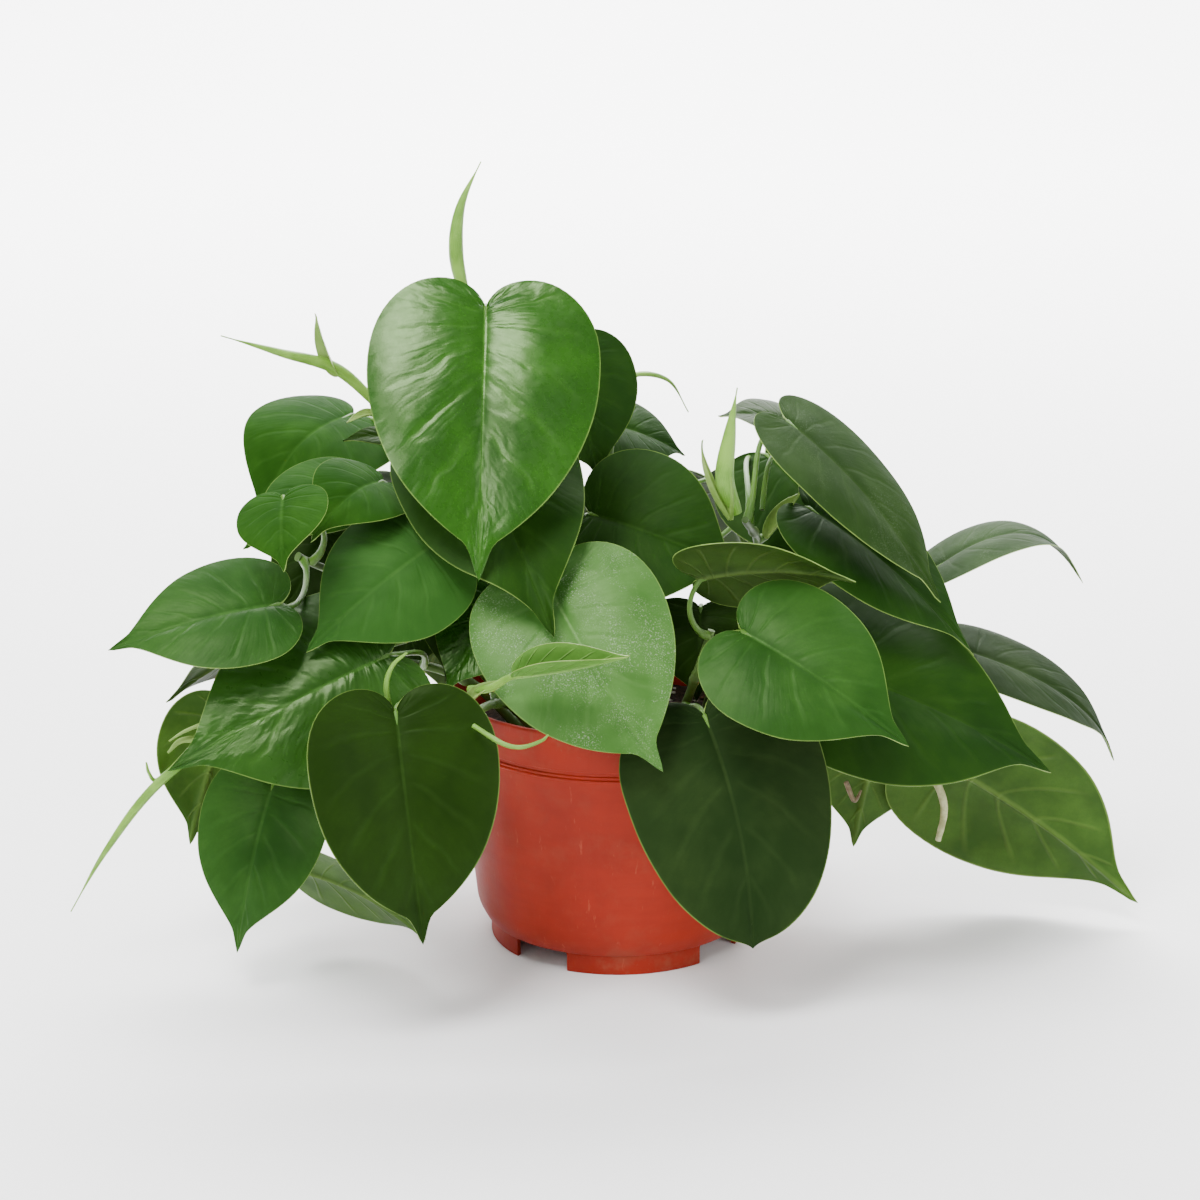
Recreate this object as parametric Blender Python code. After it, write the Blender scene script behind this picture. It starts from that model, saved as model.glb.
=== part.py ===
"""A potted heartleaf philodendron: a round nursery pot, its soil, the vines, leaves and new shoots.

Units are metres with +Z up, and the pot stands on z = 0 with its axis on Z. The front is -Y.
The planting plan is in millimetres, drawn for one size of pot. A change of the pot's rim or of the
soil's height moves the plan with it, so that the vines still start at the soil.
"""

import math
from dataclasses import dataclass

import bmesh
import bpy
from mathutils import Vector

MM = 0.001
GAP = 0.0003  # clearance between pieces that touch

# The pot
POT_HEIGHT = 0.117
RIM_RADIUS = 0.076
RIM_BAND = 0.017  # height of the band below the lip
BAND_STEP = 0.0022  # how far the band stands out from the wall
WALL = 0.0016
LIP = 0.0012  # height of the rounding at the lip
WALL_TOP_RADIUS = RIM_RADIUS - 0.0027
WALL_FOOT_RADIUS = RIM_RADIUS - 0.012
CORNER = 0.007  # height of the rounded corner above the foot
CORNER_INSET = 0.004
BEAD = 0.0006  # how far the line under the band stands out
BEAD_DROP = 0.004  # from the band's foot to the middle of that line
BEAD_HALF = 0.001
FOOT_RADIUS = WALL_FOOT_RADIUS - 0.006
FOOT_HEIGHT = 0.0095
FOOT_WALL = 0.0022
FOOT_COUNT = 4
FOOT_TURN = math.radians(8)  # the front foot's middle, round from the front
FOOT_NOTCH = math.radians(28)
DRAIN_RADIUS = 0.0045
DRAIN_CIRCLE = FOOT_RADIUS - 0.014
DRAIN_SIDES = 16
POT_SIDES = 48

# The soil
SOIL_BELOW_RIM = 0.017
SOIL_MOUND = 0.0035  # how far the soil falls from its middle to its edge
SOIL_SIDES = 36

# The plant
VINE_RADIUS = 0.0023
VINE_TIP_RADIUS = 0.0016
VINE_SIDES = 6
STALK_RADIUS = 0.00125
STALK_SIDES = 5
STALK_STEPS = 6
STALK_ARRIVAL = 0.03  # the most of a stalk that turns in behind its blade
SHOOT_STEPS = 12
SHOOT_TIP = 0.00035
BLADE_THICKNESS = 0.0006
BLADE_ROWS = 8
BLADE_COLUMNS = 2  # on each side of the midrib
LOBE_SHARE = 0.42  # share of the margin that goes round the lobe
RIB_CROWDING = 2.6  # how strongly the side veins crowd toward the notch
VEIN_SWEEP = 1.35  # how strongly they sweep toward the tip
RIPPLES = 3  # waves along each margin, where it has any
RIPPLE_LAG = 2  # radians between the two margins

# Half of a heart-shaped outline for a leaf of length 1 and full width 0.84, as two Bezier arcs
LOBE_ARC = ((0.0, 0.0), (-0.17, 0.05), (-0.15, 0.42), (0.22, 0.42))
TIP_ARC = ((0.22, 0.42), (0.62, 0.44), (0.82, 0.17), (1.0, 0.0))
OUTLINE_WIDTH = 0.84

# What the planting plan is drawn for
PLAN_RIM_RADIUS = 0.076
PLAN_SOIL_TOP = 0.100


@dataclass(frozen=True)
class Vine:
    """A stem: the points it passes through, from the soil to its growing end."""

    name: str
    points: tuple


@dataclass(frozen=True)
class Leaf:
    """One leaf. Base is the notch where the stalk joins, and face is the way its upper side looks."""

    name: str
    vine: str
    at: float  # where on the vine the stalk leaves, 0 at the soil
    base: tuple
    tip: tuple
    face: tuple
    width: float
    fold: tuple = (10, 10)  # degrees each half rises from the midrib, left and right
    cup: tuple = (-25, -25)  # degrees it turns on the way out to the margin
    bow: float = 0.06  # how far the midrib arches, as a share of the length
    hook: float = 0.0  # extra droop near the tip
    sway: float = 0.0  # sideways bend of the midrib
    twist: float = 0.0  # degrees from notch to tip
    ripple: float = 0.0  # waves along the margin, as a share of the length


@dataclass(frozen=True)
class Shoot:
    """A rolled new leaf in its sheath: the line it follows and its greatest radius."""

    name: str
    points: tuple
    radius: float
    swell: float = 0.35  # where along it the sheath is fattest


VINES = (
    Vine("vine_crown", ((-20, 12, 101.5), (-38, 18, 160), (-52, 10, 225), (-65, -8, 288))),
    Vine("vine_left_high", ((-38, 22, 101.5), (-62, 28, 160), (-88, 22, 212), (-104, 6, 238))),
    Vine("vine_left", ((-45, 0, 102), (-72, -4, 136), (-104, -14, 162), (-138, -41, 187))),
    Vine("vine_left_low", ((-44, -18, 102), (-66, -26, 126), (-96, -31, 136), (-132, -34, 129),
                           (-166, -36, 112))),
    Vine("vine_front_left", ((-34, -34, 102), (-48, -46, 122), (-61, -70, 126), (-73, -97, 122))),
    Vine("vine_front", ((-8, -38, 101.5), (-24, -56, 126), (-42, -74, 138), (-60, -92, 143))),
    Vine("vine_right_front", ((24, -34, 101.5), (32, -46, 130), (40, -48, 156))),
    Vine("vine_right", ((38, -8, 101.5), (52, -6, 150), (61, -14, 184), (54, -44, 204))),
    Vine("vine_right_low", ((50, 8, 102), (80, 6, 132), (112, 6, 130), (134, 4, 106))),
    Vine("vine_back", ((0, 28, 101.5), (2, 44, 150), (-4, 46, 200), (0, 48, 240))),
    Vine("vine_back_left", ((-34, 40, 102), (-52, 62, 136), (-70, 80, 164))),
)

LEAVES = (
    Leaf("crown_leaf_1", "vine_crown", 0.86, (-56, -40, 295), (-58, -92, 190), (0.03, -0.9, 0.42),
         98, fold=(12, 12), cup=(-26, -26), bow=0.05),
    Leaf("crown_leaf_2", "vine_crown", 0.70, (-26, 14, 266), (-8, 2, 210), (0.35, -0.8, 0.45), 66),
    Leaf("crown_leaf_3", "vine_crown", 0.52, (-65, -33, 242), (-27, -93, 166), (0.05, -0.72, 0.55),
         80, ripple=0.02),
    Leaf("left_high_leaf_1", "vine_left_high", 0.82, (-121, 40, 232), (-160, 9, 185),
         (-0.35, -0.75, 0.55), 74, bow=0.26, fold=(5, 5)),
    Leaf("left_high_leaf_2", "vine_left_high", 0.60, (-115, -9, 214), (-161, -44, 191),
         (-0.3, -0.75, 0.6), 46, bow=0.08, fold=(5, 5)),
    Leaf("left_leaf_1", "vine_left", 0.95, (-139, -80, 223), (-136, -111, 199), (-0.25, -0.5, 0.8),
         40),
    Leaf("left_leaf_2", "vine_left_high", 0.72, (-101, -40, 220), (-129, -71, 201),
         (-0.3, -0.85, 0.35), 44, bow=0.2),
    Leaf("left_leaf_3", "vine_left", 0.60, (-77, -63, 199), (-130, -91, 159), (-0.35, -0.85, 0.4),
         64, fold=(5, -5), cup=(-20, -30)),
    Leaf("left_leaf_4", "vine_left", 0.98, (-142, -84, 178), (-211, -98, 162),
         (-0.15, -0.7, 0.7), 54),
    Leaf("left_leaf_5", "vine_left", 0.45, (-142, -18, 146), (-200, -25, 116), (-0.4, 0.5, 0.75),
         48),
    Leaf("left_low_leaf_1", "vine_left_low", 0.42, (-97, -82, 155), (-187, -109, 113),
         (-0.2, -0.9, 0.35), 88, fold=(0, 5), cup=(-35, -35)),
    Leaf("left_low_leaf_2", "vine_left_low", 0.75, (-149, -62, 92), (-165, -80, 20),
         (-0.3, -0.9, 0.2), 60),
    Leaf("left_low_leaf_3", "vine_left_low", 0.90, (-172, -24, 112), (-190, -38, 54),
         (-0.3, 0.9, 0.2), 56),
    Leaf("front_left_leaf_1", "vine_front_left", 0.95, (-92, -110, 139), (-81, -131, 45),
         (0.06, -0.96, 0.25), 82),
    Leaf("front_left_leaf_2", "vine_left_low", 0.60, (-142, -38, 42), (-84, -70, 22),
         (-0.4, 0.6, 0.45), 56),
    Leaf("front_left_leaf_3", "vine_front_left", 0.45, (-64, -30, 168), (-75, -42, 131),
         (-0.2, -0.8, 0.5), 42),
    Leaf("front_leaf_1", "vine_front", 0.55, (-30, -68, 183), (18, -112, 114), (0.0, -0.85, 0.5),
         84),
    Leaf("front_leaf_2", "vine_front", 0.35, (-50, -52, 174), (-74, -70, 134), (-0.1, -0.85, 0.4),
         44),
    Leaf("right_front_leaf_1", "vine_right_front", 0.35, (36, -84, 129), (56, -116, 37),
         (0.08, -0.95, 0.3), 88, fold=(12, 5), sway=0.04),
    Leaf("right_front_leaf_2", "vine_right_front", 0.75, (51, -94, 169), (118, -121, 128),
         (0.2, -0.8, 0.55), 72),
    Leaf("right_front_leaf_3", "vine_right_front", 0.95, (35, -58, 182), (98, -86, 188),
         (0.05, 0.65, 0.75), 64),
    Leaf("right_leaf_1", "vine_right", 0.98, (73, -25, 243), (138, -50, 169), (0.75, -0.5, 0.45),
         62, fold=(5, 5), cup=(-15, -15)),
    Leaf("right_leaf_2", "vine_right", 0.90, (67, 24, 217), (112, -2, 168), (0.2, -0.8, 0.55),
         76),
    Leaf("right_leaf_3", "vine_right", 0.72, (83, -22, 204), (155, -36, 141), (0.55, -0.55, 0.6),
         62),
    Leaf("right_leaf_4", "vine_back", 0.30, (80, 58, 226), (46, 52, 229), (-0.2, -0.3, 0.9), 34),
    Leaf("right_leaf_5", "vine_right", 0.60, (-12, -21, 201), (55, -35, 178), (0.0, -0.8, 0.6),
         76),
    Leaf("right_leaf_6", "vine_right", 0.25, (36, -28, 160), (34, -42, 122), (0.05, -0.9, 0.4),
         52),
    Leaf("right_low_leaf_1", "vine_right_low", 0.50, (78, -50, 144), (190, -42, 89),
         (0.3, -0.65, 0.7), 97),
    Leaf("right_low_leaf_2", "vine_right_low", 0.60, (142, 15, 166), (212, 25, 157),
         (0.0, -0.05, 1.0), 48, bow=0.2, hook=0.2),
    Leaf("right_low_leaf_3", "vine_right_low", 0.75, (155, 8, 131), (229, 18, 74),
         (0.3, -0.3, 0.9), 50, hook=0.15),
    Leaf("right_low_leaf_4", "vine_right_low", 0.95, (146, 8, 78), (240, 0, 11),
         (0.35, 0.85, 0.2), 88),
    Leaf("right_low_leaf_5", "vine_right_low", 0.80, (122, 16, 92), (110, 20, 31),
         (-0.1, 0.9, 0.3), 60),
    Leaf("back_leaf_1", "vine_back", 0.90, (-4, 68, 222), (32, 80, 204), (0.2, -0.5, 0.8), 40),
    Leaf("back_leaf_2", "vine_back", 0.97, (-52, 58, 256), (-60, 106, 186), (-0.05, 0.8, 0.6), 84),
    Leaf("back_leaf_3", "vine_back", 0.67, (43, 85, 192), (69, 118, 131), (0.35, 0.8, 0.5), 76),
    Leaf("back_leaf_4", "vine_back", 0.60, (-12, 84, 180), (-16, 122, 104), (0, 0.9, 0.4), 76),
    Leaf("back_leaf_5", "vine_back", 0.45, (92, 48, 162), (140, 92, 108), (0.6, 0.6, 0.5), 74),
    Leaf("back_leaf_6", "vine_back", 0.25, (52, 88, 116), (66, 118, 38), (0.3, 0.95, 0.1), 70),
    Leaf("back_left_leaf_1", "vine_back_left", 0.95, (-102, 80, 190), (-142, 112, 122),
         (-0.5, 0.75, 0.4), 76),
    Leaf("back_left_leaf_2", "vine_back_left", 0.60, (-76, 98, 146), (-80, 126, 60),
         (-0.1, 0.95, 0.3), 76),
    Leaf("back_left_leaf_3", "vine_back_left", 0.75, (-104, 42, 178), (-160, 66, 128),
         (-0.6, 0.45, 0.65), 72),
)

SHOOTS = (
    Shoot("crown_shoot", ((-65.5, -10, 291), (-70, -6, 312), (-68, -3, 332), (-59, 0, 351)), 3.2),
    Shoot("left_high_shoot", ((-103, 0, 242), (-122, -8, 262), (-146, -20, 272), (-169, -30, 281)),
          2.6),
    Shoot("left_low_shoot", ((-169, -36, 110), (-203, -45, 84), (-225, -50, 56), (-241, -55, 29)),
          2.1),
    Shoot("right_shoot", ((49.5, -61, 211), (44, -62, 226), (46, -62, 246), (49, -62, 265)), 4.0),
    Shoot("front_shoot", ((-62, -95, 144), (-40, -113, 157), (-18, -120, 166), (3, -122, 167)),
          5.0, swell=0.6),
    Shoot("back_shoot", ((1, 50, 243), (10, 54, 248), (24, 62, 243), (33, 70, 227)), 1.2),
)


def clear_scene():
    """Removes what the scene holds."""
    for thing in list(bpy.data.objects):
        bpy.data.objects.remove(thing, do_unlink=True)


def material(name, colour, roughness, coat=0.0):
    """A Principled material, made once for each name."""
    made = bpy.data.materials.get(name)
    if made:
        return made
    made = bpy.data.materials.new(name)
    made.use_nodes = True
    shader = made.node_tree.nodes["Principled BSDF"]
    shader.inputs["Base Color"].default_value = (*colour, 1.0)
    shader.inputs["Roughness"].default_value = roughness
    shader.inputs["Coat Weight"].default_value = coat
    return made


def terracotta_plastic():
    return material("terracotta_plastic", (0.42, 0.055, 0.025), 0.5)


def potting_soil():
    return material("potting_soil", (0.035, 0.022, 0.014), 0.95)


def leaf_green():
    return material("leaf_green", (0.045, 0.16, 0.02), 0.35, coat=0.3)


def stem_green():
    return material("stem_green", (0.13, 0.26, 0.04), 0.5)


def shoot_green():
    return material("shoot_green", (0.3, 0.48, 0.1), 0.45)


def new_object(name, mesh, finish):
    """An object with this mesh and finish, shaded smooth but for its sharp edges."""
    mesh.materials.clear()
    mesh.materials.append(finish)
    mesh.shade_smooth()
    mesh.set_sharp_from_angle(angle=math.radians(40))
    thing = bpy.data.objects.new(name, mesh)
    bpy.context.scene.collection.objects.link(thing)
    return thing


def mesh_of(name, shape):
    """A mesh from a bmesh, which is freed."""
    mesh = bpy.data.meshes.new(name)
    shape.normal_update()
    shape.to_mesh(mesh)
    shape.free()
    return mesh


def applied(thing, finish):
    """The object again with its modifiers applied, in place of itself."""
    name = thing.name
    shaped = thing.evaluated_get(bpy.context.evaluated_depsgraph_get())
    mesh = bpy.data.meshes.new_from_object(shaped)
    bpy.data.objects.remove(thing, do_unlink=True)
    return new_object(name, mesh, finish)


def boolean(thing, other, operation):
    """Gives the object an exact Boolean with another one."""
    step = thing.modifiers.new(operation.lower(), "BOOLEAN")
    step.operation = operation
    step.solver = "EXACT"
    step.object = other


def placed(point):
    """A point of the planting plan, in metres, on a pot of this size."""
    spread = MM * RIM_RADIUS / PLAN_RIM_RADIUS
    rise = POT_HEIGHT - SOIL_BELOW_RIM - PLAN_SOIL_TOP
    return Vector((point[0] * spread, point[1] * spread, point[2] * MM + rise))


def turned(profile, sides):
    """A closed bmesh turned about Z from a closed profile of (radius, height) that runs anticlockwise."""
    shape = bmesh.new()
    rings = []
    for radius, height in profile:
        if radius < 1e-6:
            rings.append([shape.verts.new((0, 0, height))] * sides)
            continue
        turns = [2 * math.pi * k / sides for k in range(sides)]
        rings.append([shape.verts.new((radius * math.cos(a), radius * math.sin(a), height))
                      for a in turns])
    for low, high in zip(rings, rings[1:] + rings[:1]):
        for k in range(sides):
            corners = [low[k], low[(k + 1) % sides], high[(k + 1) % sides], high[k]]
            corners = [v for i, v in enumerate(corners) if v not in corners[:i]]
            if len(corners) > 2:
                shape.faces.new(corners)
    return shape


def through(points, steps):
    """Points on a smooth curve through the given ones."""
    nodes = [Vector(p) for p in points]
    nodes = [2 * nodes[0] - nodes[1]] + nodes + [2 * nodes[-1] - nodes[-2]]
    found = []
    spans = len(nodes) - 3
    for k in range(steps + 1):
        u = k / steps * spans
        i = min(int(u), spans - 1)
        u -= i
        a, b, c, d = nodes[i:i + 4]
        found.append(0.5 * (2 * b + (c - a) * u + (2 * a - 5 * b + 4 * c - d) * u ** 2
                            + (3 * b - a - 3 * c + d) * u ** 3))
    return found


def along(points, share):
    """The point and direction a share of the way along a smooth curve."""
    ends = [through(points, 200)[min(max(int(share * 200) + k, 0), 200)] for k in (-1, 1)]
    middle = (ends[0] + ends[1]) / 2
    return middle, (ends[1] - ends[0]).normalized()


def tube(path, radii, sides):
    """A closed bmesh tube along a path, with a radius at each of its points."""
    shape = bmesh.new()
    rings = []
    side = (path[1] - path[0]).orthogonal().normalized()
    for k, point in enumerate(path):
        ahead = path[min(k + 1, len(path) - 1)] - path[max(k - 1, 0)]
        ahead.normalize()
        side = (side - ahead * side.dot(ahead)).normalized()
        up = ahead.cross(side)
        turns = [2 * math.pi * i / sides for i in range(sides)]
        rings.append([shape.verts.new(point + radii[k] * (math.cos(a) * side + math.sin(a) * up))
                      for a in turns])
    for low, high in zip(rings, rings[1:]):
        for i in range(sides):
            shape.faces.new((low[i], low[(i + 1) % sides], high[(i + 1) % sides], high[i]))
    shape.faces.new(rings[0][::-1])
    shape.faces.new(rings[-1])
    return shape


def bezier(points, u):
    """A point on a cubic Bezier curve."""
    a, b, c, d = (Vector(p) for p in points)
    return (1 - u) ** 3 * a + 3 * (1 - u) ** 2 * u * b + 3 * (1 - u) * u ** 2 * c + u ** 3 * d


# The pot and its soil

def wall_radius(height):
    """Outer radius of the pot's wall at a height."""
    low = FOOT_HEIGHT + CORNER
    high = POT_HEIGHT - RIM_BAND
    share = (height - low) / (high - low)
    return WALL_FOOT_RADIUS + (WALL_TOP_RADIUS - WALL_FOOT_RADIUS) * share


def inner_corner():
    """Inside of the rounded corner, from the floor up: radius and height of each point."""
    floor = FOOT_HEIGHT + WALL
    corner_top = FOOT_HEIGHT + CORNER
    return [(WALL_FOOT_RADIUS - CORNER_INSET - WALL, floor),
            (WALL_FOOT_RADIUS - 0.35 * CORNER_INSET - WALL, floor + 0.3 * CORNER),
            (WALL_FOOT_RADIUS - WALL, corner_top + WALL)]


def pot_profile():
    """The pot's closed section, up the outside and down the inside."""
    band_foot = POT_HEIGHT - RIM_BAND
    corner_top = FOOT_HEIGHT + CORNER
    outer = [(FOOT_RADIUS - FOOT_WALL, FOOT_HEIGHT), (FOOT_RADIUS - FOOT_WALL, 0.0),
             (FOOT_RADIUS, 0.0), (FOOT_RADIUS, FOOT_HEIGHT),
             (WALL_FOOT_RADIUS - CORNER_INSET, FOOT_HEIGHT),
             (WALL_FOOT_RADIUS - 0.3 * CORNER_INSET, FOOT_HEIGHT + 0.3 * CORNER),
             (WALL_FOOT_RADIUS, corner_top)]
    line = band_foot - BEAD_DROP
    bead = [(wall_radius(line + h * BEAD_HALF) + out, line + h * BEAD_HALF)
            for h, out in ((-2, 0), (-1, BEAD), (1, BEAD), (2, 0))]
    bead.append((WALL_TOP_RADIUS, band_foot))
    band = [(WALL_TOP_RADIUS + BAND_STEP, band_foot), (RIM_RADIUS, POT_HEIGHT - LIP),
            (RIM_RADIUS - 0.4 * WALL, POT_HEIGHT), (RIM_RADIUS - WALL, POT_HEIGHT),
            (RIM_RADIUS - 1.3 * WALL, POT_HEIGHT - LIP),
            (WALL_TOP_RADIUS + BAND_STEP - 1.3 * WALL, band_foot + WALL),
            (WALL_TOP_RADIUS - WALL, band_foot - WALL)]
    return outer + bead + band + inner_corner()[::-1] + [(0.0, FOOT_HEIGHT + WALL),
                                                         (0.0, FOOT_HEIGHT)]


def cutter(name, shape):
    """A guide object that only cuts."""
    thing = bpy.data.objects.new(name, mesh_of(name, shape))
    bpy.context.scene.collection.objects.link(thing)
    thing.hide_render = True
    thing.display_type = "WIRE"
    return thing


def foot_angle(k):
    """Middle of the notch after the foot of this number, round from +X."""
    return -math.pi / 2 + FOOT_TURN + (k + 0.5) * 2 * math.pi / FOOT_COUNT


def notch_cutter(k):
    """A block through the foot ring, which leaves the floor whole."""
    shape = bmesh.new()
    bmesh.ops.create_cube(shape, size=1.0)
    width = 2 * FOOT_RADIUS * math.sin(FOOT_NOTCH / 2)
    spot = foot_angle(k)
    reach = FOOT_RADIUS - FOOT_WALL / 2
    for v in shape.verts:
        out = reach + v.co.x * 6 * FOOT_WALL
        across = v.co.y * width
        v.co = Vector((out * math.cos(spot) - across * math.sin(spot),
                       out * math.sin(spot) + across * math.cos(spot),
                       (v.co.z * 2) * (FOOT_HEIGHT - GAP)))
    return cutter("notch_cutter", shape)


def drain_cutter(k):
    """A round bar through the floor beside a notch."""
    spot = foot_angle(k)
    middle = Vector((DRAIN_CIRCLE * math.cos(spot), DRAIN_CIRCLE * math.sin(spot), 0))
    ends = [middle + Vector((0, 0, FOOT_HEIGHT * h)) for h in (0.5, 1.6)]
    return cutter("drain_cutter", tube(ends, [DRAIN_RADIUS] * 2, DRAIN_SIDES))


def make_pot():
    """The nursery pot, with its rim band, four feet and drain holes."""
    shape = turned(pot_profile(), POT_SIDES)
    bmesh.ops.recalc_face_normals(shape, faces=shape.faces)
    pot = new_object("pot", mesh_of("pot", shape), terracotta_plastic())
    cutters = [make(k) for k in range(FOOT_COUNT) for make in (notch_cutter, drain_cutter)]
    for other in cutters:
        boolean(pot, other, "DIFFERENCE")
    applied(pot, terracotta_plastic())
    for other in cutters:
        bpy.data.objects.remove(other, do_unlink=True)


def make_soil():
    """The potting mix, up to a finger's width below the rim."""
    top = POT_HEIGHT - SOIL_BELOW_RIM
    side = [(radius - GAP, height + GAP) for radius, height in inner_corner()]
    edge = wall_radius(top) - WALL - 3 * GAP
    crown = [(edge, top - SOIL_MOUND), (0.8 * edge, top - 0.4 * SOIL_MOUND), (0.5 * edge, top)]
    profile = [(0.0, side[0][1])] + side + crown + [(0.0, top)]
    shape = turned(profile, SOIL_SIDES)
    bmesh.ops.recalc_face_normals(shape, faces=shape.faces)
    new_object("soil", mesh_of("soil", shape), potting_soil())


# The plant

def outline(t):
    """A point on a leaf's half outline, from the notch at 0 to the tip at 1."""
    if t < LOBE_SHARE:
        return bezier([(*p, 0) for p in LOBE_ARC], t / LOBE_SHARE)
    return bezier([(*p, 0) for p in TIP_ARC], (t - LOBE_SHARE) / (1 - LOBE_SHARE))


def flat_point(t, v):
    """A point of the flat blade, for a leaf of length 1: t along the margin, v across from -1 to 1."""
    edge = outline(t)
    rib = t ** RIB_CROWDING
    return rib + (edge.x - rib) * abs(v) ** VEIN_SWEEP, edge.y * v


class Blade:
    """The curved surface of one leaf, in metres."""

    def __init__(self, leaf):
        self.leaf = leaf
        self.base = placed(leaf.base)
        run = placed(leaf.tip) - self.base
        self.length = run.length
        self.along = run.normalized()
        face = Vector(leaf.face)
        self.face = (face - self.along * face.dot(self.along)).normalized()
        self.side = self.face.cross(self.along)

    def spine(self, x):
        """The midrib's point at x lengths from the notch."""
        leaf = self.leaf
        if x < 0:
            rise = (4 * leaf.bow + leaf.hook) * x
            aside = 4 * leaf.sway * x
        else:
            rise = 4 * leaf.bow * x * (1 - x) + leaf.hook * (x - x ** 4)
            aside = 4 * leaf.sway * x * (1 - x)
        return self.base + self.length * (x * self.along + rise * self.face + aside * self.side)

    def point(self, t, v):
        """The point of the blade at t along the margin and v across it."""
        leaf = self.leaf
        x, y = flat_point(t, v)
        out = y * leaf.width * MM / OUTLINE_WIDTH
        ahead = (self.spine(x + 0.01) - self.spine(x - 0.01)).normalized()
        turn = math.radians(leaf.twist) * max(x, 0)
        side = (self.side - ahead * self.side.dot(ahead)).normalized()
        up = ahead.cross(side)
        side, up = (side * math.cos(turn) + up * math.sin(turn),
                    up * math.cos(turn) - side * math.sin(turn))
        half = 1 if v > 0 else 0
        start = math.radians(leaf.fold[half])
        bend = math.radians(leaf.cup[half]) / (leaf.width * MM / 2)
        reach = abs(out)
        across = (math.sin(start + bend * reach) - math.sin(start)) / bend
        lift = (math.cos(start) - math.cos(start + bend * reach)) / bend
        phase = 2 * math.pi * RIPPLES * t + RIPPLE_LAG * half
        wave = leaf.ripple * self.length * v * v * math.sin(phase)
        return self.spine(x) + side * math.copysign(across, out) + up * (lift + wave)


def blade_mesh(leaf):
    """The blade as one open sheet, upper side out."""
    blade = Blade(leaf)
    shape = bmesh.new()
    columns = [k / BLADE_COLUMNS for k in range(-BLADE_COLUMNS, BLADE_COLUMNS + 1)]
    rows = [[shape.verts.new(blade.point(i / BLADE_ROWS, v)) for v in columns]
            for i in range(1, BLADE_ROWS)]
    notch = shape.verts.new(blade.spine(0))
    tip = shape.verts.new(blade.spine(1))
    for k in range(len(columns) - 1):
        shape.faces.new((notch, rows[0][k], rows[0][k + 1]))
        shape.faces.new((tip, rows[-1][k + 1], rows[-1][k]))
        for low, high in zip(rows, rows[1:]):
            shape.faces.new((low[k], high[k], high[k + 1], low[k + 1]))
    return mesh_of(leaf.name, shape)


def stalk_path(leaf, vine):
    """The leaf stalk's line, from beside its vine to the notch, which it reaches from behind."""
    blade = Blade(leaf)
    node, climb = along(vine.points, leaf.at)
    node = placed(node)
    end = blade.base
    out = end - node
    out = (out - climb * out.dot(climb)).normalized()
    start = node + out * (VINE_RADIUS + 2 * GAP)
    span = (end - start).length
    reach = min(0.45 * span, STALK_ARRIVAL)
    leave = start + out * 0.3 * span + Vector((0, 0, 0.15 * span))
    arrive = end - blade.face * reach * 0.9 - blade.along * reach * 0.5
    curve = (start, leave, arrive, end)
    return [bezier(curve, k / STALK_STEPS) for k in range(STALK_STEPS + 1)]


def make_leaf(leaf, vine):
    """A leaf, blade and stalk in one."""
    thing = new_object(leaf.name, blade_mesh(leaf), leaf_green())
    thicken = thing.modifiers.new("thickness", "SOLIDIFY")
    thicken.thickness = BLADE_THICKNESS
    thicken.offset = 0
    path = stalk_path(leaf, vine)
    radii = [STALK_RADIUS * (1.15 - 0.3 * k / STALK_STEPS) for k in range(len(path))]
    stalk = cutter("stalk", tube(path, radii, STALK_SIDES))
    boolean(thing, stalk, "UNION")
    applied(thing, leaf_green())
    bpy.data.objects.remove(stalk, do_unlink=True)


def make_vine(vine):
    """A vine, tapering from the soil to its growing end."""
    steps = 4 * (len(vine.points) - 1)
    path = [placed(p) for p in through(vine.points, steps)]
    radii = [VINE_RADIUS + (VINE_TIP_RADIUS - VINE_RADIUS) * k / steps for k in range(steps + 1)]
    new_object(vine.name, mesh_of(vine.name, tube(path, radii, VINE_SIDES)), stem_green())


def make_shoot(shoot):
    """A rolled new leaf, fattest part of the way up and drawn out to a point."""
    path = [placed(p) for p in through(shoot.points, SHOOT_STEPS)]
    radii = []
    for k in range(SHOOT_STEPS + 1):
        u = k / SHOOT_STEPS
        if u < shoot.swell:
            share = 0.55 + 0.45 * math.sin(math.pi / 2 * u / shoot.swell)
        else:
            share = math.cos(math.pi / 2 * (u - shoot.swell) / (1 - shoot.swell)) ** 1.3
        radii.append(max(shoot.radius * MM * share, SHOOT_TIP))
    new_object(shoot.name, mesh_of(shoot.name, tube(path, radii, VINE_SIDES)), shoot_green())


def main():
    clear_scene()
    make_pot()
    make_soil()
    vines = {vine.name: vine for vine in VINES}
    for vine in VINES:
        make_vine(vine)
    for leaf in LEAVES:
        make_leaf(leaf, vines[leaf.vine])
    for shoot in SHOOTS:
        make_shoot(shoot)


main()
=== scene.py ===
"""The looks of a potted heartleaf philodendron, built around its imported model.

Lengths are metres unless a name says otherwise, +Z is up and the front is -Y. The planting plan is
in millimetres. Each leaf, vine and shoot of the plan takes the place of the plain one of that name.
"""

import logging
import math
import random
from dataclasses import dataclass, field
from enum import Enum

import bmesh
import bpy
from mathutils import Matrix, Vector, noise

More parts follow.
